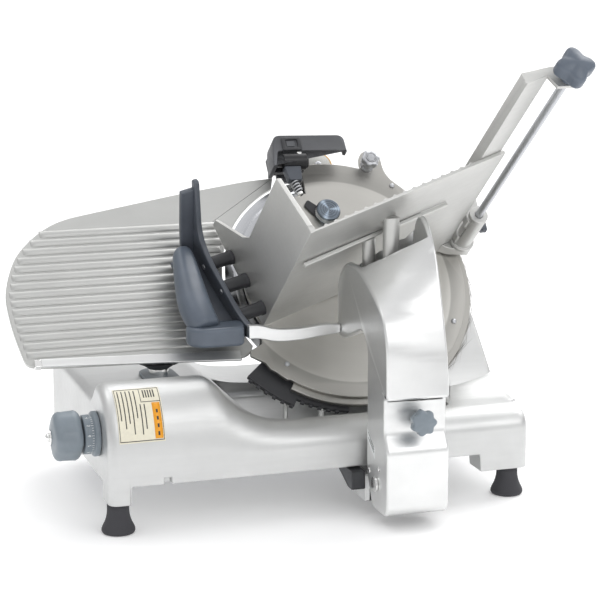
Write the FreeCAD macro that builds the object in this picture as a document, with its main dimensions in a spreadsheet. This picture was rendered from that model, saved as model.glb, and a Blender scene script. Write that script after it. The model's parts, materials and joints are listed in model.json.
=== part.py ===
import FreeCAD, Part
import math
import os
import re
import Sketcher
from FreeCAD import Placement, Rotation, Vector

# Gravity-feed food slicer, modelled as an assembly of separate pieces.
# +X is the carriage travel to the operator's right, +Y is away from the operator, +Z is up.
# The origin is on the table under the middle of the machine.
# Most pieces are laid out round the knife. "Knife axes" are x along the travel, u up the
# tilted knife face and n out of that face towards the operator.

doc = FreeCAD.newDocument("slicer")
sheet = doc.addObject("Spreadsheet::Sheet", "dims")
SIZES = {}


def cell(alias, value):
    SIZES[alias] = float(value)
    row = len(SIZES)
    sheet.set("A%d" % row, alias)
    sheet.set("B%d" % row, str(value))
    sheet.setAlias("B%d" % row, alias)


for alias, value in (
    # knife centre in the frame of the machine, and the lean of the knife
    ("knife_x", 121), ("knife_y", 90.931), ("knife_z", 246.5), ("knife_tilt", 38.5),
    # knife, its guard and its cover
    ("knife_radius", 152.5), ("knife_gap", 3.5), ("guard_radius", 173), ("guard_depth", 15),
    ("cover_radius", 164.5), ("cover_inner", 131), ("cover_thick", 5),
    # base, measured from the knife centre
    ("base_left", -350), ("base_right", 181), ("base_front", -190), ("base_rear", 150),
    ("base_floor", -188), ("leg_floor", -210), ("housing_top", -76), ("low_top", -133),
    ("deck_top", -98), ("trough_floor", -150), ("base_wall", 5), ("foot_radius", 20),
    ("foot_height", 36.5), ("foot_neck", 13),
    # carriage transport
    ("rod_radius", 9), ("rod_y", -100), ("rod_z", -173), ("bush_wall", 3), ("tube_radius", 15),
    ("roller_radius", 9), ("axle_radius", 4), ("pivot_y", -237), ("pivot_z", -197),
    ("pivot_radius", 6),
    # arm and tray
    ("arm_left", -38), ("arm_right", 40), ("arm_front", -274), ("arm_back", -203), ("arm_wall", 5),
    ("tray_thick", 5), ("tray_near", 250), ("tray_far", 8), ("tray_x", -112), ("tray_u", -55),
    ("tray_length", 275), ("tray_rise", 20), ("wall_height", 150), ("wall_lean", 15.5),
    # pusher
    ("guide_x", 164.4), ("guide_u", 32.5), ("guide_radius", 5), ("guide_top", 424),
    ("sleeve_radius", 12), ("sleeve_low", 27), ("sleeve_high", 100),
    # gauge plate
    ("gauge_thick", 6), ("rib_height", 2.5), ("rib_pitch", 11.7), ("rib_half", 3.6),
    ("post_x", -250), ("post_y", -30), ("post_radius", 11), ("rail_radius", 8), ("rail_z", -124),
    ("index_y", -130), ("index_z", -136), ("index_radius", 6), ("cam_small", 9.5), ("cam_lift", 17.5),
    ("follower_radius", 5), ("index_knob_radius", 31), ("dial_radius", 27),
    # drive
    ("spindle_radius", 12.5), ("bearing_radius", 26), ("motor_x", 112), ("motor_u", -45),
    ("motor_radius", 42), ("knife_pulley_radius", 34), ("motor_pulley_radius", 20),
    ("pulley_low", -112), ("pulley_high", -100),
    # sharpener
    ("stone_radius", 19), ("stone_x", 6), ("stone_u", 176.5), ("truing_x", -33), ("truing_u", 161),
):
    cell(alias, value)
doc.recompute()


def bound(text):
    """An expression for the document: every alias of the sheet is qualified."""
    text = str(text)
    return re.sub(r"[a-z_]+", lambda word: "dims." + word.group(0) if word.group(0) in SIZES
                  else word.group(0), text)


def size(text):
    """The present value of an expression written with the sheet's aliases."""
    if isinstance(text, (int, float)):
        return float(text)
    value = sheet.evalExpression(bound(text))
    return float(getattr(value, "Value", value))


def tie(obj, **fields):
    for field, text in fields.items():
        obj.setExpression(field.replace("__", "."), bound(text))
    return obj


TILT = math.radians(SIZES["knife_tilt"])
KNIFE_TURN = Rotation(Vector(1, 0, 0), 90 - SIZES["knife_tilt"])


def at_knife(obj, x=0, u=0, n=0, turn=None):
    """Puts an object in the knife axes."""
    obj.Placement = Placement(Vector(0, 0, 0), KNIFE_TURN * turn if turn else KNIFE_TURN)
    lean = "(knife_tilt * 1 deg)"
    tie(obj, Placement__Base__x="knife_x + (%s)" % x,
        Placement__Base__y="knife_y + (%s) * sin%s - (%s) * cos%s" % (u, lean, n, lean),
        Placement__Base__z="knife_z + (%s) * cos%s + (%s) * sin%s" % (u, lean, n, lean))
    return obj


def at_level(obj, x=0, y=0, z=0, turn=None):
    """Puts an object level, measured from the knife centre."""
    obj.Placement = Placement(Vector(0, 0, 0), turn or Rotation())
    tie(obj, Placement__Base__x="knife_x + (%s)" % x, Placement__Base__y="knife_y + (%s)" % y,
        Placement__Base__z="knife_z + (%s)" % z)
    return obj


ALONG_X = Rotation(Vector(0, 1, 0), 90)
ALONG_Y = Rotation(Vector(1, 0, 0), -90)
TOWARDS_FRONT = Rotation(Vector(1, 0, 0), 90)
count = [0]


def unnamed(kind):
    count[0] += 1
    return doc.addObject(kind, "shape_%03d" % count[0])


def block(length, width, height):
    return tie(unnamed("Part::Box"), Length=length, Width=width, Height=height)


def rod(radius, height):
    return tie(unnamed("Part::Cylinder"), Radius=radius, Height=height)


def cone(radius_low, radius_high, height):
    return tie(unnamed("Part::Cone"), Radius1=radius_low, Radius2=radius_high, Height=height)


def joined(*pieces):
    obj = unnamed("Part::MultiFuse")
    obj.Shapes = list(pieces)
    return obj


def cut(base, *tools):
    obj = unnamed("Part::Cut")
    obj.Base = base
    obj.Tool = tools[0] if len(tools) == 1 else joined(*tools)
    return obj


def common(base, tool):
    obj = unnamed("Part::Common")
    obj.Base = base
    obj.Tool = tool
    return obj


def group(*pieces):
    obj = unnamed("Part::Compound")
    obj.Links = list(pieces)
    return obj


def body_plane(body, role):
    return [plane for plane in body.Origin.OriginFeatures if plane.Role == role][0]


def new_sketch(body, role, offset=0):
    sketch = body.newObject("Sketcher::SketchObject", body.Name + "_outline%d" % len(body.Group))
    sketch.AttachmentSupport = [(body_plane(body, role), "")]
    sketch.MapMode = "FlatFace"
    sketch.setExpression("AttachmentOffset.Base.z", bound(offset))
    return sketch


def add_polygon(sketch, points):
    first = sketch.GeometryCount
    number = len(points)
    for index in range(number):
        a, b = points[index], points[(index + 1) % number]
        sketch.addGeometry(Part.LineSegment(Vector(a[0], a[1], 0), Vector(b[0], b[1], 0)))
    for index in range(number):
        sketch.addConstraint(Sketcher.Constraint(
            "Coincident", first + index, 2, first + (index + 1) % number, 1))


def add_circle(sketch, radius, x=0, y=0):
    centre = Vector(size(x), size(y), 0)
    index = sketch.addGeometry(Part.Circle(centre, Vector(0, 0, 1), size(radius)))
    constraint = sketch.addConstraint(Sketcher.Constraint("Radius", index, size(radius)))
    sketch.setExpression("Constraints[%d]" % constraint, bound(radius))


def new_body():
    return unnamed("PartDesign::Body")


def pad(body, height, points=None, circle=None, offset=0, role="XY_Plane"):
    """Adds a prism of the outline, from the offset upwards."""
    sketch = new_sketch(body, role, offset)
    if points:
        add_polygon(sketch, points)
    if circle:
        add_circle(sketch, *circle)
    feature = body.newObject("PartDesign::Pad", body.Name + "_pad%d" % len(body.Group))
    feature.Profile = sketch
    feature.setExpression("Length", bound(height))
    sketch.Visibility = False
    return feature


def pocket(body, depth, points=None, circles=(), offset=0):
    """Cuts a prism of the outline, from the offset upwards."""
    sketch = new_sketch(body, "XY_Plane", offset)
    if points:
        add_polygon(sketch, points)
    for circle in circles:
        add_circle(sketch, *circle)
    feature = body.newObject("PartDesign::Pocket", body.Name + "_cut%d" % len(body.Group))
    feature.Profile = sketch
    feature.Reversed = True
    feature.setExpression("Length", bound(depth))
    return feature


def turned(points):
    """A body turned about its own Z from (radius, height) points."""
    body = new_body()
    sketch = new_sketch(body, "XZ_Plane")
    add_polygon(sketch, [(size(r), size(z)) for r, z in points])
    feature = body.newObject("PartDesign::Revolution", body.Name + "_turn")
    feature.Profile = sketch
    feature.ReferenceAxis = (sketch, ["V_Axis"])
    feature.Angle = 360
    return body


def prism(height, points):
    body = new_body()
    pad(body, height, points)
    return body


def coded(shape):
    """A shape made directly, for the pieces with doubly curved or lofted faces."""
    obj = unnamed("Part::Feature")
    obj.Shape = shape
    return obj


NODES = {}


def part(label, obj):
    obj.Label = label
    NODES[label] = obj
    return obj


def polar(radius, degrees, centre=(0, 0)):
    angle = math.radians(degrees)
    return (centre[0] + radius * math.cos(angle), centre[1] + radius * math.sin(angle))


def arc(radius, start, end, steps, centre=(0, 0)):
    return [polar(radius, start + (end - start) * k / steps, centre) for k in range(steps + 1)]


def lobed(radius, depth, lobes, steps=72):
    return [polar(radius - depth * (0.5 - 0.5 * math.cos(math.radians(lobes * 360.0 * k / steps))),
                  360.0 * k / steps) for k in range(steps)]


def section_wire(x, points):
    corners = [Vector(x, y, z) for y, z in points]
    return Part.makePolygon(corners + [corners[0]])


def ruled(sections):
    return Part.makeLoft([section_wire(x, points) for x, points in sections], True, True)


# Base casting: a rounded front housing, high at the left and low under the knife.
S = SIZES
HOUSING = [(-350, -89), (-342, -78), (-325, -76), (-232, -76), (-218, -78), (-207, -86), (-198, -97),
           (-188, -107), (-172, -119), (-151, -128), (-125, -132), (-100, -133), (150, -133), (168, -135),
           (177, -141), (181, -150)]
LEGS = ((S["base_left"], 28), (114.6, S["base_right"] - 114.6))
REAR_FEET = ((-248, 110), (150, 110))


def base_profile(x, top, inset):
    """Side profile of the housing at one station, measured from the knife centre."""
    edge = 8.0 if x in (HOUSING[0][0], HOUSING[-1][0]) else 0.0
    high = (top - S["low_top"]) / (S["housing_top"] - S["low_top"])
    high = min(max(high, 0.0), 1.0)
    front = S["base_front"] + edge + inset
    rear = S["base_rear"] - edge - inset
    shoulder = -160.0
    depth = 34 + 24 * high
    deck = min(top - 2, S["deck_top"] - edge) if high > 0 else top
    top -= inset
    deck = min(deck - inset, top)
    points = [(front, S["base_floor"] - (20 if inset else 0))]
    for k in range(7):
        angle = math.radians(15 * k)
        points.append((front + (depth - inset) * (1 - math.cos(angle)),
                       shoulder + (top - shoulder) * math.sin(angle)))
    crest = points[-1][0]
    points += [(crest + 10, top), (crest + 45, deck), (rear - 25, deck), (rear - 7, deck - 9),
               (rear, deck - 28), (rear, S["base_floor"] - (20 if inset else 0))]
    return points


def base_shape():
    outer = ruled([(x, base_profile(x, top, 0)) for x, top in HOUSING])
    wall = S["base_wall"]
    ends = ((S["base_left"] + wall, -83), (S["base_right"] - wall, -139))
    stations = [ends[0]] + HOUSING[2:-2] + [ends[1]]
    inner = ruled([(x, base_profile(x, top if x < -180 else min(top, S["trough_floor"]), wall))
                   for x, top in stations])
    body = outer
    for x, width in LEGS:
        body = body.fuse(Part.makeBox(width, 34, 26, Vector(x, S["base_front"] + 2, S["leg_floor"])))
        inner = inner.cut(Part.makeBox(width, 36, 30, Vector(x, S["base_front"], S["leg_floor"])))
    for x, y in REAR_FEET:
        body = body.fuse(Part.makeCylinder(23, 26, Vector(x, y, S["leg_floor"])))
        inner = inner.cut(Part.makeCylinder(23, 30, Vector(x, y, S["leg_floor"])))
    body = body.cut(inner)
    # trough under the knife, with a sloping rear
    trough = Part.makeBox(215, 185, 60, Vector(-170, -148, S["trough_floor"]))
    body = body.cut(trough.makeFillet(12, [trough.Edges[k] for k in (0, 2, 4, 6)]))
    body = body.cut(Part.makeBox(62, 62, 60, Vector(30, -148, S["trough_floor"])))
    for y in (-52, -18):
        body = body.cut(Part.makeCylinder(9, 20, Vector(S["base_right"] - 12, y, -165), Vector(1, 0, 0)))
    # rod end blocks cast inside
    for x, width in ((S["base_left"] + 3, 20), (68, 16)):
        body = body.fuse(Part.makeBox(width, 30, 34, Vector(x, S["rod_y"] - 15, S["rod_z"] - 14)))
    rod_start = Vector(S["base_left"] + 5, S["rod_y"], S["rod_z"])
    body = body.cut(Part.makeCylinder(S["rod_radius"] + 0.02, 460, rod_start, Vector(1, 0, 0)))
    # slot for the gauge post, bore for the index shaft, cable notch, opening under the pedestal
    slot_half = S["post_radius"] + 2.5
    slot_corner = Vector(S["post_x"] - slot_half, S["post_y"] - slot_half, S["deck_top"] - 20)
    body = body.cut(Part.makeBox(2 * slot_half, 2 * slot_half + S["cam_lift"], 40, slot_corner))
    shaft_start = Vector(S["base_left"] - 5, S["index_y"], S["index_z"])
    body = body.cut(Part.makeCylinder(S["index_radius"] + 0.05, 30, shaft_start, Vector(1, 0, 0)))
    body = body.cut(Part.makeBox(9, 12, 8, Vector(-284, S["base_front"] - 2, S["base_floor"])))
    body = body.cut(Part.makeBox(80, 90, 40, Vector(66, -48, S["low_top"] - 30)))
    return body.removeSplitter()


part("base_casting", at_level(coded(base_shape())))

# Knife pedestal: a hollow column behind the knife, leaning with it.
PEDESTAL = [(45, -190), (30, -120), (-18, -88), (-60, -52), (-80, 0), (-71, 40), (-42, 70), (0, 82), (45, 75),
            (90, 52), (135, 10), (165, -25), (174, -45), (178, -100), (183, -190)]
PEDESTAL_INNER = [(54, -190), (38, -114), (-12, -80), (-53, -48), (-72, 0), (-64, 36), (-37, 63), (0, 74),
                  (42, 68), (85, 46), (129, 5), (158, -29), (166, -48), (170, -100), (174, -190)]


def above_deck():
    return at_level(block(400, 500, 400), -150, -250, "low_top + 0.2")


shell = at_knife(prism("104", PEDESTAL), n=-118)
hollow = at_knife(prism("100", PEDESTAL_INNER), n=-122)
hub = at_knife(rod("bearing_radius + 8", 76), n=-90)
hub_bore = at_knife(rod("bearing_radius + 0.02", 90), n=-100)
part("knife_pedestal", cut(common(joined(cut(shell, hollow), hub), above_deck()), hub_bore))
part("rear_cover", common(at_knife(prism("4", PEDESTAL), n=-122.2), above_deck()))
cover_holes = [at_level(rod(23.3, 10), x, y, "base_floor - 6") for x, y in REAR_FEET]
cover_sheet = block("base_right - base_left - 2", 179, 2.5)
part("bottom_cover", cut(at_level(cover_sheet, "base_left + 1", -30, "base_floor - 2.52"), *cover_holes))

# Feet: flared rubber, each on its own stud pad.
FEET = ((-336, -171), (160, -171)) + REAR_FEET
foot_profile = [(0, 0), ("foot_radius", 0), ("foot_radius", 3), ("foot_radius - 3", 7),
                ("foot_neck + 1", 20), ("foot_neck", 30), ("foot_neck + 2", 36.4), (0, 36.4)]
part("feet", group(*[at_level(turned(foot_profile), x, y, "-knife_z") for x, y in FEET]))

# Screws of the base: bottom cover and rear cover.
BOTTOM_SCREWS = ((-347, -15), (178, -15), (-347, 130), (178, 130))
REAR_SCREWS = ((-60, 20), (30, 68), (150, -30), (60, 55))
screw_places = [at_level(rod(4, 3), x, y, "base_floor - 5.54") for x, y in BOTTOM_SCREWS]
screw_places += [at_knife(rod(4, 3), x, u, -125.2) for x, u in REAR_SCREWS]
part("base_screws", group(*screw_places))

# Carriage slide rod, guide track, transport and roller.
part("slide_rod", at_level(rod("rod_radius", 428), "base_left + 5.2", "rod_y", "rod_z", ALONG_X))
part("guide_track", at_level(block(425, 12, 10), "base_left + 5.05", -66, "trough_floor - 15.05"))
tube = at_level(rod("tube_radius", 70), -50, "rod_y", "rod_z", ALONG_X)
tube_bore = at_level(rod("rod_radius + bush_wall + 0.02", 90), -60, "rod_y", "rod_z", ALONG_X)
sole = at_level(block(54, 193, 13), -27, -237, -205)
web = at_level(block(50, 24, 30), -40, "rod_y - 12", -205)
lug = at_level(rod(13, 52), -25, "pivot_y", "pivot_z", ALONG_X)
ear = at_level(block(20, 6, 40), -25, -50, -205)
axle = at_level(rod("axle_radius", 19), -15, -66, -174.1, ALONG_Y)
cheek_left = at_level(block(5, 34, 33), "arm_left", -201, -229)
cheek_right = at_level(block(5, 34, 33), "arm_right - 5", -201, -229)
cheek_floor = at_level(block(78, 34, 5), "arm_left", -201, -229)
cheek_web = at_level(block(12, 30, 30), -10, -200, -229)
pivot_bore = at_level(rod("pivot_radius + 0.03", 90), -50, "pivot_y", "pivot_z", ALONG_X)
cheeks = joined(cheek_left, cheek_right, cheek_floor, cheek_web)
part("transport_block", cut(joined(tube, sole, web, lug, ear, axle, cheeks), tube_bore, pivot_bore))


def bushing(x):
    outer = at_level(rod("rod_radius + bush_wall", 18), x, "rod_y", "rod_z", ALONG_X)
    inner = at_level(rod("rod_radius + 0.03", 20), str(x) + " - 1", "rod_y", "rod_z", ALONG_X)
    return cut(outer, inner)


part("transport_bushings", group(bushing(-49), bushing(1)))
part("track_roller", cut(at_level(rod("roller_radius", 10), -15, -65, -174.1, ALONG_Y),
                         at_level(rod("axle_radius + 0.05", 12), -15, -66, -174.1, ALONG_Y)))

# Carriage arm: a hollow casting whose open top reaches back under the tray.
# The four profiles are matched point for point between the left and the right side.
ARM_LEFT = [(-267, -229), (-274, -221), (-274, -149), (-262, -131), (-262, -88), (-271, -88), (-269, -24),
            (-256, 7), (-225, 27), (-190, 42), (-165, 50), (-118, 48), (-95, 27), (-95, -46), (-118, -48),
            (-184, -20), (-203, -38), (-203, -190), (-222, -229)]
ARM_RIGHT = [(-267, -229), (-274, -221), (-274, -149), (-262, -131), (-262, -88), (-274, -88), (-266, -40),
             (-254, 0), (-238, 45), (-226, 73), (-209, 99), (-189, 116), (-172, 112), (-150, 30), (-160, -6),
             (-184, -12), (-203, -38), (-203, -190), (-222, -229)]
CAVITY_LEFT = [(-267, -240), (-267, -154), (-257, -131), (-257, -93), (-264, -90), (-262, -26), (-250, 1),
               (-220, 20), (-172, 41), (-160, 66), (-118, 70), (-102, 60), (-102, -17), (-117, -24),
               (-182, -12), (-209, -36), (-209, -188), (-209, -240)]
CAVITY_RIGHT = [(-267, -240), (-267, -154), (-257, -131), (-257, -93), (-267, -90), (-260, -42), (-248, -3),
                (-232, 42), (-220, 72), (-205, 130), (-189, 150), (-170, 150), (-157, 32), (-167, 1),
                (-184, -5), (-209, -36), (-209, -188), (-209, -240)]


def arm_shape():
    left, right, wall = S["arm_left"], S["arm_right"], S["arm_wall"]
    outer = ruled([(left, ARM_LEFT), (right, ARM_RIGHT)])
    inner = ruled([(left + wall, CAVITY_LEFT), (right - wall, CAVITY_RIGHT)])
    body = outer.cut(inner)
    shelf = Part.makeBox(right - left - 4, 60, 8, Vector(left + 2, -190, -2))
    body = body.fuse(shelf.common(outer))
    # the transport's sole enters through the foot of the back wall
    body = body.cut(Part.makeBox(66, 30, 60, Vector(left + wall + 1, -225, -240)))
    pivot_start = Vector(-60, S["pivot_y"], S["pivot_z"])
    body = body.cut(Part.makeCylinder(S["pivot_radius"] + 0.03, 120, pivot_start, Vector(1, 0, 0)))
    body = body.cut(Part.makeCylinder(4.05, 30, Vector(2, -280, -112), Vector(0, 1, 0)))
    return body


part("carriage_arm", at_level(coded(arm_shape())))
pin_rod = rod("pivot_radius", "arm_right - arm_left + 2")
pin_shaft = at_level(pin_rod, "arm_left - 1", "pivot_y", "pivot_z", ALONG_X)
pin_head = at_level(rod("pivot_radius + 3", 3), "arm_left - 3.2", "pivot_y", "pivot_z", ALONG_X)
part("pivot_pin", joined(pin_shaft, pin_head))
knob_head = at_level(prism("14", lobed(16, 4.5, 5)), 2, -279, -112, TOWARDS_FRONT)
knob_neck = at_level(rod(9, 16), 2, -263, -112, TOWARDS_FRONT)
knob_stud = at_level(rod(4, 20), 2, -248, -112, TOWARDS_FRONT)
part("tilt_knob", joined(knob_head, knob_neck, knob_stud))

# Tray: a sloping floor and a pushing wall that meet along a fold parallel to the knife axis.
rise = math.radians(S["tray_rise"])
lean = math.radians(90 + S["wall_lean"])
fold = (S["tray_x"], S["tray_u"])


def along(start, angle, distance, side=0.0):
    return (start[0] + distance * math.cos(angle) - side * math.sin(angle),
            start[1] + distance * math.sin(angle) + side * math.cos(angle))


floor_line = [fold]
for k in range(16):
    start = 12 + 14 * k
    floor_line += [along(fold, rise, start), along(fold, rise, start + 3, 2.2), along(fold, rise, start + 6)]
floor_line += [along(fold, rise, S["tray_length"]), along(fold, rise, S["tray_length"], -S["tray_thick"])]
corner_low = (fold[0] - 6.4, fold[1] - 4.6)
wall_line = [corner_low, along(fold, lean, S["wall_height"], S["tray_thick"]),
             along(fold, lean, S["wall_height"])]
depth = "tray_near - tray_far"
tray_channel = at_knife(prism(depth, floor_line + wall_line), n="tray_far")
# the pushing wall steps down from its tall rear to a low front, with a notch between
wall_cutter = new_body()
WALL_TOP = [(-50, 256), (-50, 249.5), (23.6, 234), (23.6, 91), (34, 73), (82, 27), (93, 16), (93, -5),
            (200, -5), (200, 256)]
pad(wall_cutter, 95, WALL_TOP, role="YZ_Plane")
at_knife(wall_cutter, -200)
rib_points = [along(fold, rise, 4, -4), along(fold, rise, 215, -4), along(fold, rise, 215, -9),
              along(fold, rise, 4, -9)]
rib = at_knife(prism("5", rib_points), n=167)
boss_a = at_level(rod(10, 104), 5, -165, 6.05)
boss_b = at_level(rod(8, 76), -14, -140, 6.05)
tray = part("tray", joined(cut(tray_channel, wall_cutter), rib, boss_a, boss_b))

# Carriage handle: rail bolted to the pushing wall, grip, end cap and the bar back to the arm.
WALL_TURN = Rotation(Vector(0, 0, 1), S["wall_lean"])


def at_wall(obj, x=0, turn=None):
    """Puts an object in the axes of the pushing wall: local y up the wall, local z along the fold."""
    across = "tray_x + (%s) * cos(wall_lean * 1 deg)" % x
    up = "tray_u + (%s) * sin(wall_lean * 1 deg)" % x
    return at_knife(obj, across, up, 0, WALL_TURN * turn if turn else WALL_TURN)


def wall_point(x, y, n):
    angle = math.radians(S["wall_lean"])
    return (S["tray_x"] + x * math.cos(angle) - y * math.sin(angle),
            S["tray_u"] + x * math.sin(angle) + y * math.cos(angle), n)


def wall_prism(thick, points, x):
    body = new_body()
    pad(body, thick, points, role="YZ_Plane")
    return at_wall(body, x)


RAIL = [(172, 113), (163, 117), (143, 84), (124.6, 53), (93.9, 41.5), (50, 46), (4.4, 50.3), (-26, 66),
        (-33, 58), (-16, 34), (20, 20), (60, 12), (100, 8), (114, 8), (124.3, 13), (145, 55), (165.8, 102.6)]
WEB_HIGH = [(166, 103), (145, 55), (124.3, 13), (118, 9.4), (116, 14), (120, 17), (140, 58), (160, 105)]
WEB_LOW = [(118, 9.4), (114, 8), (100, 8), (60, 12), (20, 20), (-16, 34), (-18, 40), (20, 26), (60, 18),
           (100, 14), (116, 14)]
STANDOFFS = ((96, 18), (56, 28), (12, 34))
RAIL_SCREWS = ((92, 24), (48, 38))
ACROSS_WALL = WALL_TURN * ALONG_X
rail = [wall_prism(7, RAIL, -49), wall_prism(14, WEB_HIGH, -62), wall_prism(34, WEB_LOW, -82)]
for y, n in STANDOFFS:
    x, u, n = wall_point(-43, y, n)
    rail.append(at_knife(rod(8.5, 37.7), x, u, n, ACROSS_WALL))
rail_body = part("handle_rail", cut(joined(*rail), tray))
screws = []
for y, n in RAIL_SCREWS:
    x, u, n = wall_point(-52, y, n)
    screws.append(at_knife(rod(4, 2.9), x, u, n, ACROSS_WALL))
part("handle_screws", group(*screws))
# Centres and radii down the grip, in the axes of the pushing wall.
GRIP = ((-70, 121, 31.5, 7), (-71, 117, 32, 11), (-74.4, 103.3, 33.5, 15), (-83.4, 72.6, 38.5, 18.5),
        (-90.5, 48, 43, 20.5), (-94, 30, 47, 20.5), (-95, 14.6, 50.5, 19), (-94, -1, 54, 16.5))


def grip_loft():
    wires = []
    for x, y, n, radius in GRIP:
        wires.append(Part.Wire([Part.Circle(Vector(x, y, n), Vector(0, 1, -0.2), radius).toShape()]))
    return Part.makeLoft(wires, True, False)


grip_body = part("handle_grip", cut(at_wall(coded(grip_loft())), rail_body))
CAP = [(-229, -88), (-222, -104), (-206, -112), (-163, -112), (-150, -68), (-152, -66), (-206, -66),
       (-222, -74)]
cap_block = at_level(prism("24", CAP), 0, 0, -48)
BAR = [(-158, -24), (-142, -24), (-122, -31), (-90, -32), (-60, -28.5), (-38.1, -30), (-38.1, -41),
       (-60, -43), (-90, -47), (-122, -47), (-142, -41), (-158, -41)]
bar_body = new_body()
pad(bar_body, 12, BAR, role="XZ_Plane")
bar = part("handle_bar", cut(at_level(bar_body, 0, -97, 0), rail_body))
part("handle_end_cap", cut(cap_block, rail_body, grip_body, bar))

# Pusher: guide rod held at both ends, sleeve, lock lever and toothed plate.
part("guide_rod", at_knife(rod("guide_radius", "guide_top - 9"), "guide_x", "guide_u", 9))
bracket = at_knife(prism("17", [(132, 32), (147, 25), (176, 22), (176, 42), (152, 46), (147, 38.6)]), n=9)
bracket_bore = at_knife(rod("guide_radius + 0.02", 30), "guide_x", "guide_u", 3)
part("rod_bracket", cut(bracket, bracket_bore, tray))
bar_points = [along(fold, rise, 240, 0.1), along(fold, rise, 272, 0.1), along(fold, rise, 272, 3.1),
              along(fold, rise, 243, 3.1), along(fold, rise, 243, 14), along(fold, rise, 240, 14)]
tab_points = [(112, 28), (140, 39), (150, 22), (178, 22), (178, 44), (150, 50), (110, 42)]
angle = joined(at_knife(prism("260", bar_points), n=155), at_knife(prism("5", tab_points), n=410))
part("angle_bar", cut(angle, at_knife(rod("guide_radius + 0.02", 30), "guide_x", "guide_u", 400)))
star = at_knife(prism("24", lobed(24, 7, 4)), "guide_x", "guide_u", "guide_top + 2")
star_neck = at_knife(rod(9, 12), "guide_x", "guide_u", "guide_top - 8.7")
star_bore = at_knife(rod("guide_radius + 0.3", 30), "guide_x", "guide_u", "guide_top - 25.3")
part("star_knob", joined(star, cut(star_neck, star_bore)))
sleeve = at_knife(rod("sleeve_radius", "sleeve_high - sleeve_low"), "guide_x", "guide_u", "sleeve_low")
sleeve_foot = at_knife(rod("sleeve_radius + 3.5", 6), "guide_x", "guide_u", "sleeve_low")
NECK = [(150.5, 28), (170, 28), (170, 60), (140, 60), (132, 56), (135, 48), (150.5, 50)]
necks = [at_knife(prism("16", NECK), n=n) for n in (34, 76)]
sleeve_bore = at_knife(rod("guide_radius + 0.05", 120), "guide_x", "guide_u", 10)
lever_socket = at_knife(rod(5.05, 20), 173, "guide_u", 62, ALONG_X)
part("pusher_sleeve", cut(joined(sleeve, sleeve_foot, *necks), sleeve_bore, lever_socket))
teeth = [along(fold, rise, 120, 6), along(fold, rise, 234, 6), along(fold, rise, 234, 16),
         along(fold, rise, 267.25, 16), along(fold, rise, 267.25, 24)]
for k in range(14):
    teeth += [along(fold, rise, 258 - 10 * k, 40), along(fold, rise, 253 - 10 * k, 34)]
pusher_back = [along(fold, rise, 246, 16), along(fold, rise, 267.25, 16), along(fold, rise, 267.25, 21),
               along(fold, rise, 246, 21)]
part("pusher_plate", joined(at_knife(prism("4", teeth), n=30), at_knife(prism("64", pusher_back), n=30)))
lever_arm = at_knife(prism("8", [(180, 28), (187, 28), (187, 60), (183, 64), (179.6, 60)]), n=58)
part("pusher_lever", joined(at_knife(rod(5, 12), 173.2, "guide_u", 62, ALONG_X), lever_arm))

# Gauge plate: ribbed, cut round the knife; its support slides straight back.
GAUGE = [(-62, 156.9), (-98, 154.5), (-193, 140), (-292, 122), (-338, 113.6), (-360.5, 106), (-382, 93),
         (-402, 75), (-414.5, 59), (-425, 35), (-431.5, 10), (-431, -12), (-428, -40), (-421, -74),
         (-418, -84), (-410, -88), (-380, -90), (-138, -95)]
gauge = new_body()
pad(gauge, "gauge_thick", GAUGE, offset="-gauge_thick")


def left_edge(u):
    edge = GAUGE[5:15]
    for (x0, u0), (x1, u1) in zip(edge, edge[1:]):
        if u1 <= u <= u0:
            return x0 + (x1 - x0) * (u - u0) / (u1 - u0)
    return edge[0][0]


ribs = []
for k in range(15):
    u = 92 - SIZES["rib_pitch"] * k
    left = left_edge(u) + 5
    reach = math.sqrt(max(161 ** 2 - u * u, 0))
    right = min(-141, -reach - 3)
    low, high = u - SIZES["rib_half"], u + SIZES["rib_half"]
    outline = [(left + 3, low), (right, low), (right, high), (left + 3, high), (left, u)]
    ribs.append(at_knife(prism("rib_height + 1", outline), n=-1))
cut_out = at_knife(rod("knife_radius + knife_gap", 30), 0, 0, -15)
lip = at_knife(prism("4", [(-404, -79), (-152, -86.6), (-152, -100.4), (-408, -89)]), n=-0.5)
part("gauge_plate", cut(joined(at_knife(gauge), lip, *ribs), cut_out))
SUPPORT = [(-288, -60), (-273, -79), (-227, -79), (-212, -60), (-212, 20), (-288, 20)]
support = at_knife(prism("20", SUPPORT), n=-26.1)
post = at_level(rod("post_radius", 49), "post_x", "post_y", -113)
part("gauge_support", joined(support, post))
collar = at_level(cone("post_radius + 5", "post_radius + 2", 9), "post_x", "post_y", -97.2)
part("post_collar", cut(collar, at_level(rod("post_radius + 0.02", 30), "post_x", "post_y", -110)))
SEAL = arc(22, 0, 180, 12, (0, 10)) + arc(22, 180, 360, 12, (0, -22))
part("gauge_seal", cut(at_level(prism("0.5", SEAL), "post_x", "post_y", -97.8),
                       at_level(rod("post_radius + 0.02", 30), "post_x", "post_y", -110)))
part("gauge_rail", at_level(rod("rail_radius", 260), "post_x", -150, "rail_z", ALONG_Y))
carrier = at_level(block(38, 52, 34), "post_x - 19", "post_y - 34", "rail_z - 17")
follower_arm = at_level(block(12, 45, 22), "post_x - 19", "index_y + 23", "index_z - 6")
follower_y = "index_y + cam_small + follower_radius + 0.35"
follower = at_level(rod("follower_radius", 18), "post_x - 25", follower_y, "index_z", ALONG_X)
rail_bore = at_level(rod("rail_radius + 0.04", 200), "post_x", -160, "rail_z", ALONG_Y)
post_bore = at_level(rod("post_radius + 0.02", 40), "post_x", "post_y", -113.02)
part("gauge_carrier", cut(joined(carrier, follower_arm, follower), rail_bore, post_bore))

# Index knob: turns a spiral cam that pushes the carrier back.
CAM = [(polar(SIZES["cam_small"] + SIZES["cam_lift"] * k / 60.0, -5.0 * k)) for k in range(61)]
CAM_TURN = ALONG_X * Rotation(Vector(0, 0, 1), 90)


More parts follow.
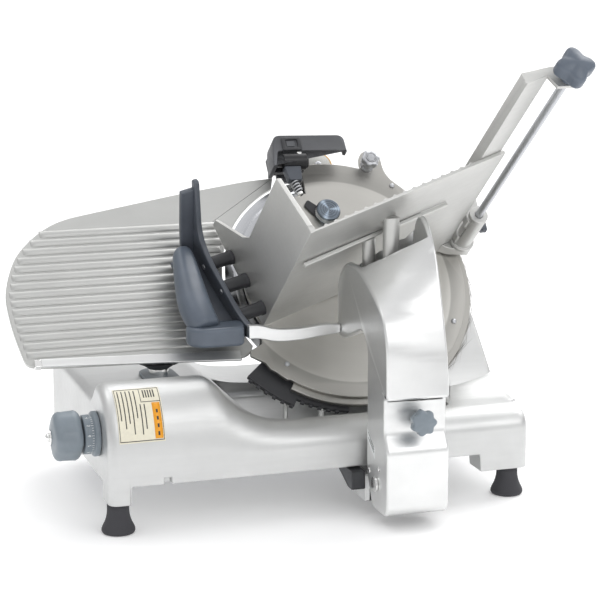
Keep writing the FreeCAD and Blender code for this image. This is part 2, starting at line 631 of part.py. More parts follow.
def on_index(obj, x, turn=ALONG_X):
    """Puts an object on the axis of the index shaft."""
    return at_level(obj, x, "index_y", "index_z", turn)


cam_disc = on_index(prism("6", CAM), "post_x - 22", CAM_TURN)
part("index_cam", cut(cam_disc, on_index(rod("index_radius + 0.02", 20), "post_x - 30")))
part("index_shaft", on_index(rod("index_radius", "post_x + 390"), -408))
part("dial_collar", cut(on_index(rod("dial_radius", 19), "base_left - 19.2"),
                        on_index(rod("index_radius + 0.06", 40), "base_left - 30")))
grip_disc = on_index(prism("37", lobed(SIZES["index_knob_radius"], 4, 4)), -407.5)
knob_nut = on_index(rod(8, 6), -413)
knob_bore = on_index(rod("index_radius + 0.02", 41), -408.05)
part("index_knob", cut(joined(grip_disc, knob_nut), knob_bore))

# Knife, spindle, bearings, pulleys, belt and motor.
part("knife", at_knife(turned([
    (0, -5), ("knife_radius - 12", -5), ("knife_radius", -1.4), ("knife_radius", -1),
    ("knife_radius - 12", -1.2), ("knife_radius - 14", -2), (0, -2)])))
part("knife_spindle", at_knife(turned([
    (0, "pulley_low - 2"), ("spindle_radius", "pulley_low - 2"), ("spindle_radius", -12),
    (40, -12), (40, -5.05), (0, -5.05)])))
bearings = []
for low in (-42, -88):
    ring = at_knife(rod("bearing_radius", 12), n=low)
    bearings.append(cut(ring, at_knife(rod("spindle_radius + 0.02", 14), n=low - 1)))
part("spindle_bearings", group(*bearings))
wheel = turned([("spindle_radius + 0.02", "pulley_low"), ("knife_pulley_radius", "pulley_low"),
                ("knife_pulley_radius", "pulley_high"), ("spindle_radius + 0.02", "pulley_high")])
part("knife_pulley", at_knife(wheel))
motor_can = turned([(0, -92), ("motor_radius", -92), ("motor_radius", -28), ("motor_radius - 6", -22.1),
                    (0, -22.1)])
part("motor", at_knife(motor_can, "motor_x", "motor_u"))
part("motor_pulley", joined(at_knife(rod("motor_pulley_radius", 12), "motor_x", "motor_u", "pulley_low"),
                            at_knife(rod(6, 20.3), "motor_x", "motor_u", "pulley_low - 0.5")))


def belt_shape():
    gap = 0.3
    turn = (S["motor_x"], S["motor_u"])
    distance = math.hypot(*turn)
    heading = math.degrees(math.atan2(turn[1], turn[0]))

    def loop(extra):
        big, small = S["knife_pulley_radius"] + gap + extra, S["motor_pulley_radius"] + gap + extra
        spread = math.degrees(math.acos((big - small) / distance))
        return arc(big, heading + spread, heading + 360 - spread, 40) + \
            arc(small, heading - spread, heading + spread, 24, turn)

    def face(extra):
        corners = [Vector(x, y, 0) for x, y in loop(extra)]
        return Part.Face(Part.makePolygon(corners + corners[:1]))

    return face(3).cut(face(0)).extrude(Vector(0, 0, 9))


part("drive_belt", at_knife(coded(belt_shape()), n="pulley_low + 1.5"))

# Ring guard behind the knife rim and the cover over the knife.
RING = arc(SIZES["guard_radius"], -124, 77, 60) + arc(SIZES["knife_radius"] + 3.5, 77, -124, 60)
RING_WALL = arc(SIZES["guard_radius"], -60, 20, 30) + arc(SIZES["knife_radius"] + 10, 20, -60, 30)
ring_front = at_knife(prism("8", RING), n=-7)
ring_back = at_knife(prism("7.2", RING_WALL), n=-13.9)
part("ring_guard", joined(ring_front, ring_back))
COVER = arc(SIZES["cover_radius"], -126, 70, 60) + arc(171.5, 71, 97.7, 12) + \
    arc(SIZES["cover_inner"], 100.4, 205, 30) + \
    [(-124, -82), (-140, -90), (-141, -97), (-124, -108), (-119, -117), (-112, -122), (-106, -128),
     (-100, -133)]
cover_plate = new_body()
pad(cover_plate, "cover_thick", COVER, offset=1.2)
pocket(cover_plate, 3, circles=[(112,)], offset=4.4)
tab = [(58, 150), (60, 178), (70, 190), (92, 188), (102, 176), (112, 150), (118, 118), (80, 125)]
cover_tab = at_knife(prism("cover_thick", tab), n=1.2)
part("knife_cover", joined(at_knife(cover_plate), cover_tab))
COVER_SCREWS = ((97, 133), (-97, -112), (136, -70), (60, -142))
part("cover_screws", group(*[at_knife(rod(3.5, 3), x, u, 6.3) for x, u in COVER_SCREWS]))
cover_knob_body = turned([(0, 0), (11, 0), (16, 3), (16, 13), (14, 15), (0, 15)])
part("cover_knob", at_knife(cover_knob_body, -2, 96, 4.6))
guard_knob_head = at_knife(prism("11", lobed(13, 2.2, 8)), 68, 164, 20)
guard_knob_neck = at_knife(rod(7, 15), 68, 164, 6.4)
part("guard_knob", joined(guard_knob_head, guard_knob_neck))

# Slice deflector and its two rods down to the base.
DEFLECTOR = arc(188, 219, 240, 12) + arc(157, 240, 219, 12)
DEFLECTOR_TAIL = arc(178, 239, 262, 12) + arc(168, 262, 239, 12)
deflector = part("slice_deflector", joined(at_knife(prism("6.9", DEFLECTOR), n=-14),
                                           at_knife(prism("6.9", DEFLECTOR_TAIL), n=-14)))
rods = []
for x, u in ((-102, -146), (-58, -163)):
    y = u * math.sin(TILT) + 11 * math.cos(TILT)
    z = u * math.cos(TILT) - 11 * math.sin(TILT) - 2
    rods.append(cut(at_level(rod(3.5, z - S["trough_floor"]), x, y, "trough_floor"), deflector))
part("deflector_rods", group(*rods))

# Sharpener at the top of the knife: it slides down the knife face to bring its stones to the edge.
BRACKET = [(-52, 158), (-48, 190), (20, 190), (26, 170), (60, 164), (72, 156), (40, 155.5), (0, 159)]
BRACKET_SEAT = [(39, 156), (72, 156), (60, 164), (40, 167)]
bracket_seat = at_knife(prism("12.9", BRACKET_SEAT), n=-20)
part("sharpener_bracket", joined(at_knife(prism("6", BRACKET), n=-20), bracket_seat))
HOOD = [(-72, 150), (-66, 190), (-60, 196), (26, 193), (31, 188), (32, 163), (27, 158), (16, 159), (15, 169),
        (-61, 171.5), (-66.5, 150)]
hood = at_knife(prism("33", HOOD), n=10)
REAR_ARM = [(-62, 168), (12, 168), (14, 184), (-46, 190), (-62, 190)]
rear_arm = at_knife(prism("2.7", REAR_ARM), n=-13.9)
side_wall = at_knife(prism("27", [(-62, 172), (-50, 172), (-50, 190), (-62, 190)]), n=-13.9)
front_arm = at_knife(prism("6", [(-64, 158), (-22, 158), (-22, 176), (-62, 176)]), n=10)
stone_pin = at_knife(rod(3, 9.5), "stone_x", "stone_u", -12)
truing_pin = at_knife(rod(3, 14), "truing_x", "truing_u", 12)
part("sharpener_housing", joined(hood, rear_arm, side_wall, front_arm, stone_pin, truing_pin))
part("grinding_stone", cut(at_knife(rod("stone_radius", 7.5), "stone_x", "stone_u", -10.8),
                           at_knife(rod(3.05, 20), "stone_x", "stone_u", -16)))
part("truing_stone", cut(at_knife(rod(8, 8), "truing_x", "truing_u", 16.5),
                         at_knife(rod(3.05, 20), "truing_x", "truing_u", 10)))

# Switches on the right end, inlet gland at the rear, blank data plate on the left of the front.
part("switch_panel", cut(at_level(block(3, 70, 34), "base_right + 0.05", -70, -182),
                         at_level(rod(8.3, 20), "base_right - 10", -52, -165, ALONG_X),
                         at_level(rod(8.3, 20), "base_right - 10", -18, -165, ALONG_X)))
part("start_button", at_level(rod(8, 15), "base_right - 7.5", -52, -165, ALONG_X))
part("stop_button", at_level(rod(8, 16), "base_right - 7.5", -18, -165, ALONG_X))
part("power_inlet", at_level(cone(11, 9, 15), 60, "base_rear + 0.02", -167, ALONG_Y))


def label_shape():
    profile = base_profile(-300, S["housing_top"], 0)[2:7]
    near = [(y - 0.9, z + 0.5) for y, z in profile]
    far = [(y - 0.1, z + 0.1) for y, z in profile]
    points = near + far[::-1]
    return ruled([(-336.5, points), (-281, points)])


part("label_plate", at_level(coded(label_shape())))

doc.recompute()
bad = [obj.Name + " " + obj.Label for obj in doc.Objects if "Invalid" in obj.State or "Error" in obj.State]
for label, obj in NODES.items():
    if obj.Shape.isNull() or not obj.Shape.isValid() or not obj.Shape.Solids:
        bad.append("shape " + label)
if bad:
    raise RuntimeError("failed: " + ", ".join(bad))
os.makedirs("parts", exist_ok=True)
for label, obj in NODES.items():
    obj.Shape.exportStep("parts/%s.step" % label)
print(len(NODES), "pieces")
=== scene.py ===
import bmesh
import bpy
import json
import math
from mathutils import Matrix, Vector


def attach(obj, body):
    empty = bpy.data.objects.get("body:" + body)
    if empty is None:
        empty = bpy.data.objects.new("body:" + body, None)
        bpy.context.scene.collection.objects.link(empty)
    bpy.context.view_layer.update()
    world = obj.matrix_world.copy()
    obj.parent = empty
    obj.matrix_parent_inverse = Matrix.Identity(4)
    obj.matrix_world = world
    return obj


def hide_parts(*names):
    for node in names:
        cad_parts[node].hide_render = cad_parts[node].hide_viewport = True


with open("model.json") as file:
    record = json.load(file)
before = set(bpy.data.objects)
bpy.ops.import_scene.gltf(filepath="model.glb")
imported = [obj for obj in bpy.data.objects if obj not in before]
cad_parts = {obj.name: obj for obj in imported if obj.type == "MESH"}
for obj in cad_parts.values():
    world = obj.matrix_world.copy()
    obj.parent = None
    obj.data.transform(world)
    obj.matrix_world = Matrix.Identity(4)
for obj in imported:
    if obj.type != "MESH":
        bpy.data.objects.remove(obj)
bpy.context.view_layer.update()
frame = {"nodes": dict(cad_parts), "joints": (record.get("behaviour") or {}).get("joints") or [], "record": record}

# Looks of a gravity-feed food slicer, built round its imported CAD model.
# Lengths inside the part functions are millimetres from the knife centre. "Knife axes" are
# x along the carriage travel, u up the tilted knife face and n out of it, towards the operator.

MM = 0.001
JOINTS = {joint["name"]: joint for joint in frame["joints"]}
BODY_OF = {node: body for body, nodes in frame["record"]["behaviour"]["bodies"].items() for node in nodes}
SLOT_OF = {row["node"]: row["material_slot"] for row in frame["record"]["subparts"]}
KNIFE = Vector(JOINTS["knife_spin"]["pos_m"])
OUT = Vector(JOINTS["knife_spin"]["axis"]).normalized()
ALONG = Vector((1, 0, 0))
UP = OUT.cross(ALONG)


def axes(origin, x, y, z):
    """The matrix of a local frame, its origin in metres."""
    turn = Matrix((x, y, z)).transposed().to_4x4()
    return Matrix.Translation(origin) @ turn


LEVEL = Matrix.Translation(KNIFE)
KNIFE_AXES = axes(KNIFE, ALONG, UP, OUT)
WALL_LEAN = math.radians(15.5)
WALL_AXES = KNIFE_AXES @ Matrix.Translation(Vector((-112, -55, 0)) * MM) @ Matrix.Rotation(WALL_LEAN, 4, "Z")


def level_axes(x, y, z, axis):
    """A frame whose local z points along a level axis."""
    side = Vector((0, 0, 1)).cross(axis).normalized()
    return axes(KNIFE + Vector((x, y, z)) * MM, side, axis.cross(side), axis)


# ---------------------------------------------------------------- materials


class Finish:
    """A procedural material on one Principled shader."""

    def __init__(self, name, **uniform):
        self.material = bpy.data.materials.new(name)
        self.material.use_nodes = True
        self.tree = self.material.node_tree
        self.shader = self.tree.nodes["Principled BSDF"]
        for socket, value in uniform.items():
            self.shader.inputs[socket.replace("_", " ")].default_value = value
        place = self.add("ShaderNodeTexCoord")
        self.place = place.outputs["Object"]

    def add(self, kind, **values):
        node = self.tree.nodes.new(kind)
        for key, value in values.items():
            setattr(node, key, value)
        return node

    def link(self, source, target):
        self.tree.links.new(source, target)

    def stretched(self, scale, turn=(0, 0, 0)):
        mapping = self.add("ShaderNodeMapping")
        mapping.inputs["Scale"].default_value = scale
        mapping.inputs["Rotation"].default_value = turn
        self.link(self.place, mapping.inputs["Vector"])
        return mapping.outputs["Vector"]

    def noise(self, scale, detail=4.0, rough=0.55, place=None, distortion=0.0):
        node = self.add("ShaderNodeTexNoise")
        node.inputs["Scale"].default_value = scale
        node.inputs["Detail"].default_value = detail
        node.inputs["Roughness"].default_value = rough
        node.inputs["Distortion"].default_value = distortion
        self.link(place or self.place, node.inputs["Vector"])
        return node.outputs["Fac"]

    def distance(self):
        """Distance from local z, in metres."""
        split = self.add("ShaderNodeSeparateXYZ")
        self.link(self.place, split.inputs[0])
        squares = [self.math("MULTIPLY", split.outputs[axis], split.outputs[axis]) for axis in "XY"]
        return self.math("SQRT", self.math("ADD", *squares))

    def rings(self, scale):
        """Noise that varies only with the distance from local z: the marks of turning."""
        join = self.add("ShaderNodeCombineXYZ")
        self.link(self.distance(), join.inputs["X"])
        return self.noise(scale, 3.0, 0.6, join.outputs[0])

    def rays(self, count):
        """A soft pattern of rays round local z, 0 to 1: painted highlight, standing in for the light that a fine facing
        cut reflects.
        """
        split = self.add("ShaderNodeSeparateXYZ")
        self.link(self.place, split.inputs[0])
        angle = self.math("ARCTAN2", split.outputs["Y"], split.outputs["X"])
        wave = self.math("COSINE", self.math("MULTIPLY", angle, count))
        return self.math("POWER", self.math("MAXIMUM", wave, 0.0), 3.0)

    def math(self, operation, first, second=None):
        node = self.add("ShaderNodeMath", operation=operation)
        for socket, value in zip(node.inputs, (first, second)):
            if value is None:
                continue
            if isinstance(value, (int, float)):
                socket.default_value = value
            else:
                self.link(value, socket)
        return node.outputs[0]

    def ramp(self, factor, *stops):
        node = self.add("ShaderNodeValToRGB")
        elements = node.color_ramp.elements
        while len(elements) < len(stops):
            elements.new(0.5)
        for element, (place, colour) in zip(elements, stops):
            element.position = place
            element.color = tuple(colour) + (1.0,) if len(colour) == 3 else colour
        self.link(factor, node.inputs[0])
        return node.outputs["Color"]

    def remap(self, factor, low, high, start=0.3, end=0.7):
        node = self.add("ShaderNodeMapRange")
        for name, value in (("From Min", start), ("From Max", end), ("To Min", low), ("To Max", high)):
            node.inputs[name].default_value = value
        self.link(factor, node.inputs["Value"])
        return node.outputs["Result"]

    def mixed(self, factor, first, second, blend="MIX"):
        node = self.add("ShaderNodeMix", data_type="RGBA", blend_type=blend)
        for socket, value in ((node.inputs[0], factor), (node.inputs[6], first), (node.inputs[7], second)):
            if isinstance(value, (int, float)):
                socket.default_value = value
            elif isinstance(value, tuple):
                socket.default_value = value + (1.0,)
            else:
                self.link(value, socket)
        return node.outputs[2]

    def edges(self, low=0.52, high=0.6):
        """How exposed an edge is, from the curvature of the mesh."""
        geometry = self.add("ShaderNodeNewGeometry")
        return self.remap(geometry.outputs["Pointiness"], 0.0, 1.0, low, high)

    def colour(self, output):
        self.link(output, self.shader.inputs["Base Color"])

    def roughness(self, output):
        self.link(output, self.shader.inputs["Roughness"])

    def bump(self, *heights):
        """Heights are (output, strength, distance in mm), laid over each other."""
        normal = None
        for output, strength, distance in heights:
            node = self.add("ShaderNodeBump")
            node.inputs["Strength"].default_value = strength
            node.inputs["Distance"].default_value = distance * MM
            self.link(output, node.inputs["Height"])
            if normal:
                self.link(normal, node.inputs["Normal"])
            normal = node.outputs["Normal"]
        self.link(normal, self.shader.inputs["Normal"])
        return self


def tinted(colour, amount):
    return tuple(min(1.0, channel * amount) for channel in colour)


def aluminium(name, colour, rough, grain, brush, metallic=0.9):
    """Satin aluminium: fine grain, faint brushing along x, cloudy tone, brighter rubbed edges."""
    finish = Finish(name, Metallic=metallic)
    cloud = finish.noise(9.0, 5.0, 0.6)
    tone = finish.ramp(cloud, (0.3, tinted(colour, 0.93)), (0.7, tinted(colour, 1.05)))
    finish.colour(finish.mixed(finish.edges(), tone, tinted(colour, 1.18)))
    fine = finish.noise(1500.0, 2.0, 0.6)
    streaks = finish.noise(60.0, 3.0, 0.6, finish.stretched(brush))
    finish.roughness(finish.remap(streaks, rough - 0.05, rough + 0.07))
    return finish.bump((fine, grain, 0.06), (streaks, 0.05, 0.05))


def turned_metal(name, colour, low, high, scale=420.0, metallic=1.0, depth=0.12, anisotropic=0.0):
    """Metal turned on a lathe about local z: rings in tone, roughness and height."""
    finish = Finish(name, Metallic=metallic, Anisotropic=anisotropic)
    rings = finish.rings(scale)
    broad = finish.rings(scale * 0.09)
    tone = finish.ramp(broad, (0.3, tinted(colour, 0.88)), (0.7, tinted(colour, 1.08)))
    finish.colour(finish.mixed(finish.edges(), tone, tinted(colour, 1.2)))
    finish.roughness(finish.remap(rings, low, high))
    if anisotropic:
        tangent = finish.add("ShaderNodeTangent", direction_type="RADIAL", axis="Z")
        finish.link(tangent.outputs[0], finish.shader.inputs["Tangent"])
    return finish.bump((rings, depth, 0.05))


def dished_cover(name, colour, lip):
    """Cover metal: paler dish fading inwards from its lip, which is painted light for the sloping dish, and a darker
    flat rim outside it.
    """
    finish = Finish(name, Metallic=0.92, Anisotropic=0.3)
    distance = finish.distance()
    rings = finish.rings(300.0)
    broad = finish.rings(27.0)
    tone = finish.ramp(broad, (0.3, tinted(colour, 0.95)), (0.7, tinted(colour, 1.05)))
    # Painted shading: the dish is paler near its lip, where its slope faces the light.
    inner = finish.remap(distance, 0.0, 1.0, 0.04, lip)
    tone = finish.mixed(finish.math("MULTIPLY", inner, 0.55), tone, tinted(colour, 1.36))
    outer = finish.remap(distance, 0.0, 1.0, lip, lip + 0.002)
    tone = finish.mixed(outer, tone, tinted(colour, 0.8))
    finish.colour(finish.mixed(finish.edges(), tone, tinted(colour, 1.3)))
    finish.roughness(finish.remap(rings, 0.3, 0.44))
    return finish.bump((rings, 0.1, 0.05))


def faced_metal(name, colour):
    """Metal faced on a lathe: fine rings under rays of painted highlight, dark and bright in turn."""
    finish = Finish(name, Metallic=1.0, Anisotropic=0.8)
    rings = finish.rings(900.0)
    tone = finish.ramp(rings, (0.3, tinted(colour, 0.75)), (0.7, tinted(colour, 1.2)))
    # Painted highlight: brighter rays round the axis stand in for reflected light.
    tone = finish.mixed(finish.rays(3.0), tone, tinted(colour, 2.6))
    finish.colour(finish.mixed(finish.edges(0.54, 0.6), tone, tinted(colour, 3.2)))
    finish.roughness(finish.remap(rings, 0.2, 0.32))
    tangent = finish.add("ShaderNodeTangent", direction_type="RADIAL", axis="Z")
    finish.link(tangent.outputs[0], finish.shader.inputs["Tangent"])
    return finish.bump((rings, 0.2, 0.05))


def moulded(name, colour, rough, grain=0.25, scale=900.0, wear=1.5):
    """Moulded plastic: fine sparked texture, uneven sheen, paler rubbed edges."""
    finish = Finish(name)
    cloud = finish.noise(22.0, 4.0, 0.6)
    tone = finish.ramp(cloud, (0.3, tinted(colour, 0.88)), (0.7, tinted(colour, 1.1)))
    finish.colour(finish.mixed(finish.edges(0.53, 0.66), tone, tinted(colour, wear)))
    fine = finish.noise(scale, 3.0, 0.65)
    finish.roughness(finish.remap(finish.noise(60.0, 3.0), rough - 0.06, rough + 0.08))
    return finish.bump((fine, grain, 0.08))


def rubber(name, colour):
    finish = moulded(name, colour, 0.72, 0.5, 1300.0, 1.3)
    finish.shader.inputs["Specular IOR Level"].default_value = 0.3
    return finish


def grit(name, colour):
    """Bonded abrasive: coarse grains of mixed tone."""
    finish = Finish(name)
    grains = finish.add("ShaderNodeTexVoronoi")
    grains.inputs["Scale"].default_value = 1400.0
    finish.link(finish.place, grains.inputs["Vector"])
    finish.colour(finish.ramp(grains.outputs["Distance"], (0.0, tinted(colour, 1.1)), (0.8, tinted(colour, 0.75))))
    finish.roughness(finish.remap(finish.noise(300.0), 0.8, 0.95))
    return finish.bump((grains.outputs["Distance"], 0.6, 0.12))


def printed(name, colour):
    """Printed film: nearly plain, with the slight mottle of ink on a textured face."""
    finish = Finish(name)
    mottle = finish.noise(240.0, 3.0)
    finish.colour(finish.ramp(mottle, (0.3, tinted(colour, 0.95)), (0.7, tinted(colour, 1.03))))
    finish.roughness(finish.remap(finish.noise(80.0), 0.34, 0.46))
    return finish.bump((mottle, 0.08, 0.03))


FINISHES = {
    "cast_aluminium": aluminium("cast_aluminium", (0.76, 0.765, 0.76), 0.36, 0.16, (0.2, 3.0, 3.0)),
    "housing_casting": aluminium("housing_casting", (0.63, 0.635, 0.63), 0.44, 0.2, (0.2, 3.0, 3.0)),
    "tray_aluminium": aluminium("tray_aluminium", (0.56, 0.56, 0.545), 0.46, 0.2, (0.2, 3.0, 3.0), 0.75),
    "gauge_aluminium": aluminium("gauge_aluminium", (0.5, 0.503, 0.49), 0.42, 0.18, (0.15, 3.0, 3.0), 0.8),
    "cover_metal": dished_cover("cover_metal", (0.5, 0.49, 0.462), 0.1435),
    "knife_steel": turned_metal("knife_steel", (0.52, 0.53, 0.55), 0.16, 0.26, 700.0),
    "bright_steel": turned_metal("bright_steel", (0.78, 0.78, 0.77), 0.08, 0.18, 500.0),
    "machine_steel": turned_metal("machine_steel", (0.5, 0.51, 0.53), 0.3, 0.45, 500.0),
    "spun_steel": faced_metal("spun_steel", (0.17, 0.2, 0.235)),
    "bronze": turned_metal("bronze", (0.62, 0.42, 0.22), 0.25, 0.4, 500.0),
    "black_casting": moulded("black_casting", (0.035, 0.036, 0.04), 0.42, 0.3, 1200.0, 2.2),
    "dark_plastic": moulded("dark_plastic", (0.078, 0.088, 0.106), 0.34, 0.2, 1100.0, 1.9),
    "grip_plastic": moulded("grip_plastic", (0.105, 0.127, 0.16), 0.34, 0.16, 1300.0, 1.4),
    "knob_plastic": moulded("knob_plastic", (0.2, 0.235, 0.265), 0.33, 0.14, 1300.0, 1.25),
    "barrel_black": moulded("barrel_black", (0.012, 0.012, 0.014), 0.36, 0.1, 900.0, 2.0),
    "hood_plastic": moulded("hood_plastic", (0.075, 0.078, 0.085), 0.5, 0.3, 1100.0, 1.7),
    "foot_rubber": rubber("foot_rubber", (0.06, 0.06, 0.066)),
    "abrasive": grit("abrasive", (0.74, 0.74, 0.71)),
    "start_green": moulded("start_green", (0.03, 0.28, 0.08), 0.28, 0.06, 900.0, 1.2),
    "stop_red": moulded("stop_red", (0.45, 0.03, 0.025), 0.28, 0.06, 900.0, 1.2),
    "label": printed("label", (0.78, 0.74, 0.6)),
    "orange_ink": printed("orange_ink", (0.85, 0.36, 0.02)),
    "black_ink": printed("black_ink", (0.045, 0.045, 0.045)),
    "white_ink": printed("white_ink", (0.8, 0.82, 0.82)),
}


# ---------------------------------------------------------------- shapes in millimetres


def rounded(points, radius, steps=5, closed=True):
    """The outline with each corner turned into a short curve. radius is one number or one for each corner."""
    radii = radius if isinstance(radius, (list, tuple)) else [radius] * len(points)
    result = []
    last = len(points) - 1
    for index, (corner, reach) in enumerate(zip(points, radii)):
        corner = Vector(corner)
        if not closed and index in (0, last):
            result.append(corner)
            continue
        before = Vector(points[index - 1]) - corner
        after = Vector(points[(index + 1) % len(points)]) - corner
        start = corner + before.normalized() * min(reach, before.length * 0.48)
        end = corner + after.normalized() * min(reach, after.length * 0.48)
        for k in range(steps + 1):
            t = k / steps
            result.append(start.lerp(corner, t).lerp(corner.lerp(end, t), t))
    return result


def arc(radius, start, end, steps, centre=(0, 0)):
    result = []
    for k in range(steps + 1):
        angle = math.radians(start + (end - start) * k / steps)
        result.append(Vector((centre[0] + radius * math.cos(angle), centre[1] + radius * math.sin(angle))))
    return result


def solid(rings, caps=True):
    """A mesh through rings of equally many points; a ring of one point is a pole."""
    mesh = bmesh.new()
    rows = [[mesh.verts.new(Vector(point) * MM) for point in ring] for ring in rings]
    for low, high in zip(rows, rows[1:]):
        number = max(len(low), len(high))
        for k in range(number):
            following = (k + 1) % number
            if len(low) == 1:
                mesh.faces.new((low[0], high[following], high[k]))
            elif len(high) == 1:
                mesh.faces.new((low[k], low[following], high[0]))
            else:
                mesh.faces.new((low[k], low[following], high[following], high[k]))
    if caps:
        for row in (rows[0], rows[-1]):
            if len(row) > 2:
                mesh.faces.new(row)
    bmesh.ops.recalc_face_normals(mesh, faces=mesh.faces)
    return mesh


def prism(outline, low, high, across="xy"):
    """The outline drawn out along the third axis. across names the axes that the outline lies in."""
    spots = {"xy": lambda a, b, c: (a, b, c), "yz": lambda a, b, c: (c, a, b), "xz": lambda a, b, c: (a, c, b)}
    spot = spots[across]
    return solid([[spot(a, b, level) for a, b in outline] for level in (low, high)])


def lathe(profile, steps=96):
    """A (radius, height) profile turned about local z."""
    rings = []
    for radius, height in profile:
        if radius < 1e-6:
            rings.append([(0, 0, height)])
        else:
            rings.append([(p.x, p.y, height) for p in arc(radius, 0, 360, steps)[:-1]])
    return solid(rings)


def softened(mesh, width, segments=2, angle=25, pick=None):
    """Rounds the edges sharper than the angle."""
    edges = [edge for edge in mesh.edges if len(edge.link_faces) == 2
             and edge.calc_face_angle(0.0) > math.radians(angle) and (pick is None or pick(edge))]
    bmesh.ops.bevel(mesh, geom=edges, offset=width * MM, offset_type="OFFSET", segments=segments, profile=0.5,
                    affect="EDGES", clamp_overlap=False)
    return mesh


def merged(*meshes):
    """Several meshes in one, without joining their surfaces."""
    total = bmesh.new()
    for mesh in meshes:
        carrier = bpy.data.meshes.new("carrier")
        mesh.to_mesh(carrier)
        total.from_mesh(carrier)
        bpy.data.meshes.remove(carrier)
    return total


def placed(mesh, matrix):
    mesh.transform(matrix)
    return mesh


def moved(mesh, x=0, y=0, z=0):
    return placed(mesh, Matrix.Translation(Vector((x, y, z)) * MM))


def box(low, high, round_by=0.6, segments=2):
    outline = [(low[0], low[1]), (high[0], low[1]), (high[0], high[1]), (low[0], high[1])]
    return softened(prism(outline, low[2], high[2]), round_by, segments)


def bar(start, end, radius, steps=32):
    """A round bar between two points, with slightly rounded ends."""
    start, end = Vector(start), Vector(end)
    length = (end - start).length
    lip = min(0.6, radius * 0.2)
    mesh = lathe([(0, 0), (radius - lip, 0), (radius, lip), (radius, length - lip), (radius - lip, length), (0, length)],
                 steps)
    turn = Vector((0, 0, 1)).rotation_difference(end - start).to_matrix().to_4x4()
    return placed(mesh, Matrix.Translation(start * MM) @ turn)


def made(name, mesh, place, finish, weighted=True):
    data = bpy.data.meshes.new(name)
    mesh.to_mesh(data)
    mesh.free()
    for face in data.polygons:
        face.use_smooth = True
    data.materials.append(FINISHES[finish].material)
    obj = bpy.data.objects.new(name, data)
    bpy.context.scene.collection.objects.link(obj)
    obj.matrix_world = place
    if weighted:
        modifier = obj.modifiers.new("normals", "WEIGHTED_NORMAL")
        modifier.keep_sharp = True
        modifier.weight = 60
    return obj


def carved(obj, *tools, mode="DIFFERENCE"):
    """Cuts meshes in the same axes out of the object."""
    for tool in tools:
        helper = made("cutter", tool, obj.matrix_world.copy(), "black_ink", False)
        modifier = obj.modifiers.new("cut", "BOOLEAN")
        modifier.operation = mode
        modifier.solver = "EXACT"
        modifier.object = helper
        bpy.context.view_layer.update()
        result = bpy.data.meshes.new_from_object(obj.evaluated_get(bpy.context.evaluated_depsgraph_get()))
        obj.modifiers.remove(modifier)
        obj.data = result
        bpy.data.objects.remove(helper)
    return obj


def rim_softened(obj, width, segments=2, angle=40):
    """Rounds what is still sharp after cutting, and settles the shading."""
    mesh = bmesh.new()
    mesh.from_mesh(obj.data)
    bmesh.ops.remove_doubles(mesh, verts=mesh.verts, dist=0.02 * MM)
    softened(mesh, width, segments, angle)
    mesh.to_mesh(obj.data)
    mesh.free()
    for face in obj.data.polygons:
        face.use_smooth = True
    return obj


def stands_for(obj, *nodes):
    """The object replaces these CAD nodes and moves with them."""
    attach(obj, BODY_OF[nodes[0]])
    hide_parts(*nodes)
    return obj


def detail(name, mesh, place, body, finish, weighted=True):
    """A piece that the CAD model doesn't have."""
    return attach(made(name, mesh, place, finish, weighted), body)


def refined(node, width=0.6, segments=2, finish=None, angle=28, place=None):
    """A copy of a CAD node with its flat faces joined and its edges rounded."""
    mesh = bmesh.new()
    mesh.from_mesh(frame["nodes"][node].data)
    place = place or Matrix.Identity(4)
    mesh.transform(place.inverted())
    bmesh.ops.remove_doubles(mesh, verts=mesh.verts, dist=0.01 * MM)
    bmesh.ops.dissolve_limit(mesh, angle_limit=math.radians(0.6), verts=mesh.verts, edges=mesh.edges)
    bmesh.ops.recalc_face_normals(mesh, faces=mesh.faces)
    if width:
        softened(mesh, width, segments, angle)
    return stands_for(made(node + "_body", mesh, place, finish or SLOT_OF[node]), node)


# ---------------------------------------------------------------- base

BASE_LEFT, BASE_RIGHT, BASE_FRONT, BASE_REAR = -350.0, 181.0, -190.0, 150.0
BASE_FLOOR, LEG_FLOOR, SHOULDER = -188.0, -210.0, -160.0
LOW_TOP, HIGH_TOP, DECK_TOP, TROUGH_FLOOR = -133.0, -76.0, -98.0, -150.0
CREST = [(-360, -76), (-340, -76), (-325, -76), (-232, -76), (-218, -78), (-207, -86), (-198, -97), (-188, -107),
         (-172, -119), (-151, -128), (-125, -132), (-100, -133), (150, -133), (190, -133), (200, -133)]
LEFT_LEG_END, RIGHT_LEG_START, LEG_REAR = -322.0, 114.6, -154.0
POST = (-250.0, -30.0)


def spline(points, x):
    """A smooth curve through (x, y) points with rising x."""
    for index in range(1, len(points) - 2):
        (x0, y0), (x1, y1), (x2, y2), (x3, y3) = points[index - 1:index + 3]
        if x1 <= x <= x2:
            t = (x - x1) / (x2 - x1)
            slope1 = (y2 - y0) / (x2 - x0) * (x2 - x1)
            slope2 = (y3 - y1) / (x3 - x1) * (x2 - x1)
            return ((2 * t ** 3 - 3 * t ** 2 + 1) * y1 + (t ** 3 - 2 * t ** 2 + t) * slope1
                    + (3 * t ** 2 - 2 * t ** 3) * y2 + (t ** 3 - t ** 2) * slope2)
    return points[1][1] if x < points[1][0] else points[-2][1]


def end_inset(x, radius=12.0):
    """How far a section shrinks near the rounded ends of the housing."""
    distance = min(x - BASE_LEFT, BASE_RIGHT - x)
    if distance >= radius:
        return 0.0
    return radius - math.sqrt(radius ** 2 - (radius - distance) ** 2)


def front_curve(x, steps=18):
    """The front face of the housing, from its shoulder up to its crest, as (y, z)."""
    inset = end_inset(x)
    top = spline(CREST, x)
    high = min(max((top - LOW_TOP) / (HIGH_TOP - LOW_TOP), 0.0), 1.0)
    depth = 34 + 24 * high - inset
    top -= inset
    front = BASE_FRONT + inset
    return [(front + depth * (1 - math.cos(a)), SHOULDER + (top - SHOULDER) * math.sin(a))
            for a in (math.pi / 2 * k / steps for k in range(steps + 1))]


def smooth_step(x, start, end):
    t = min(max((x - start) / (end - start), 0.0), 1.0)
    return t * t * (3 - 2 * t)


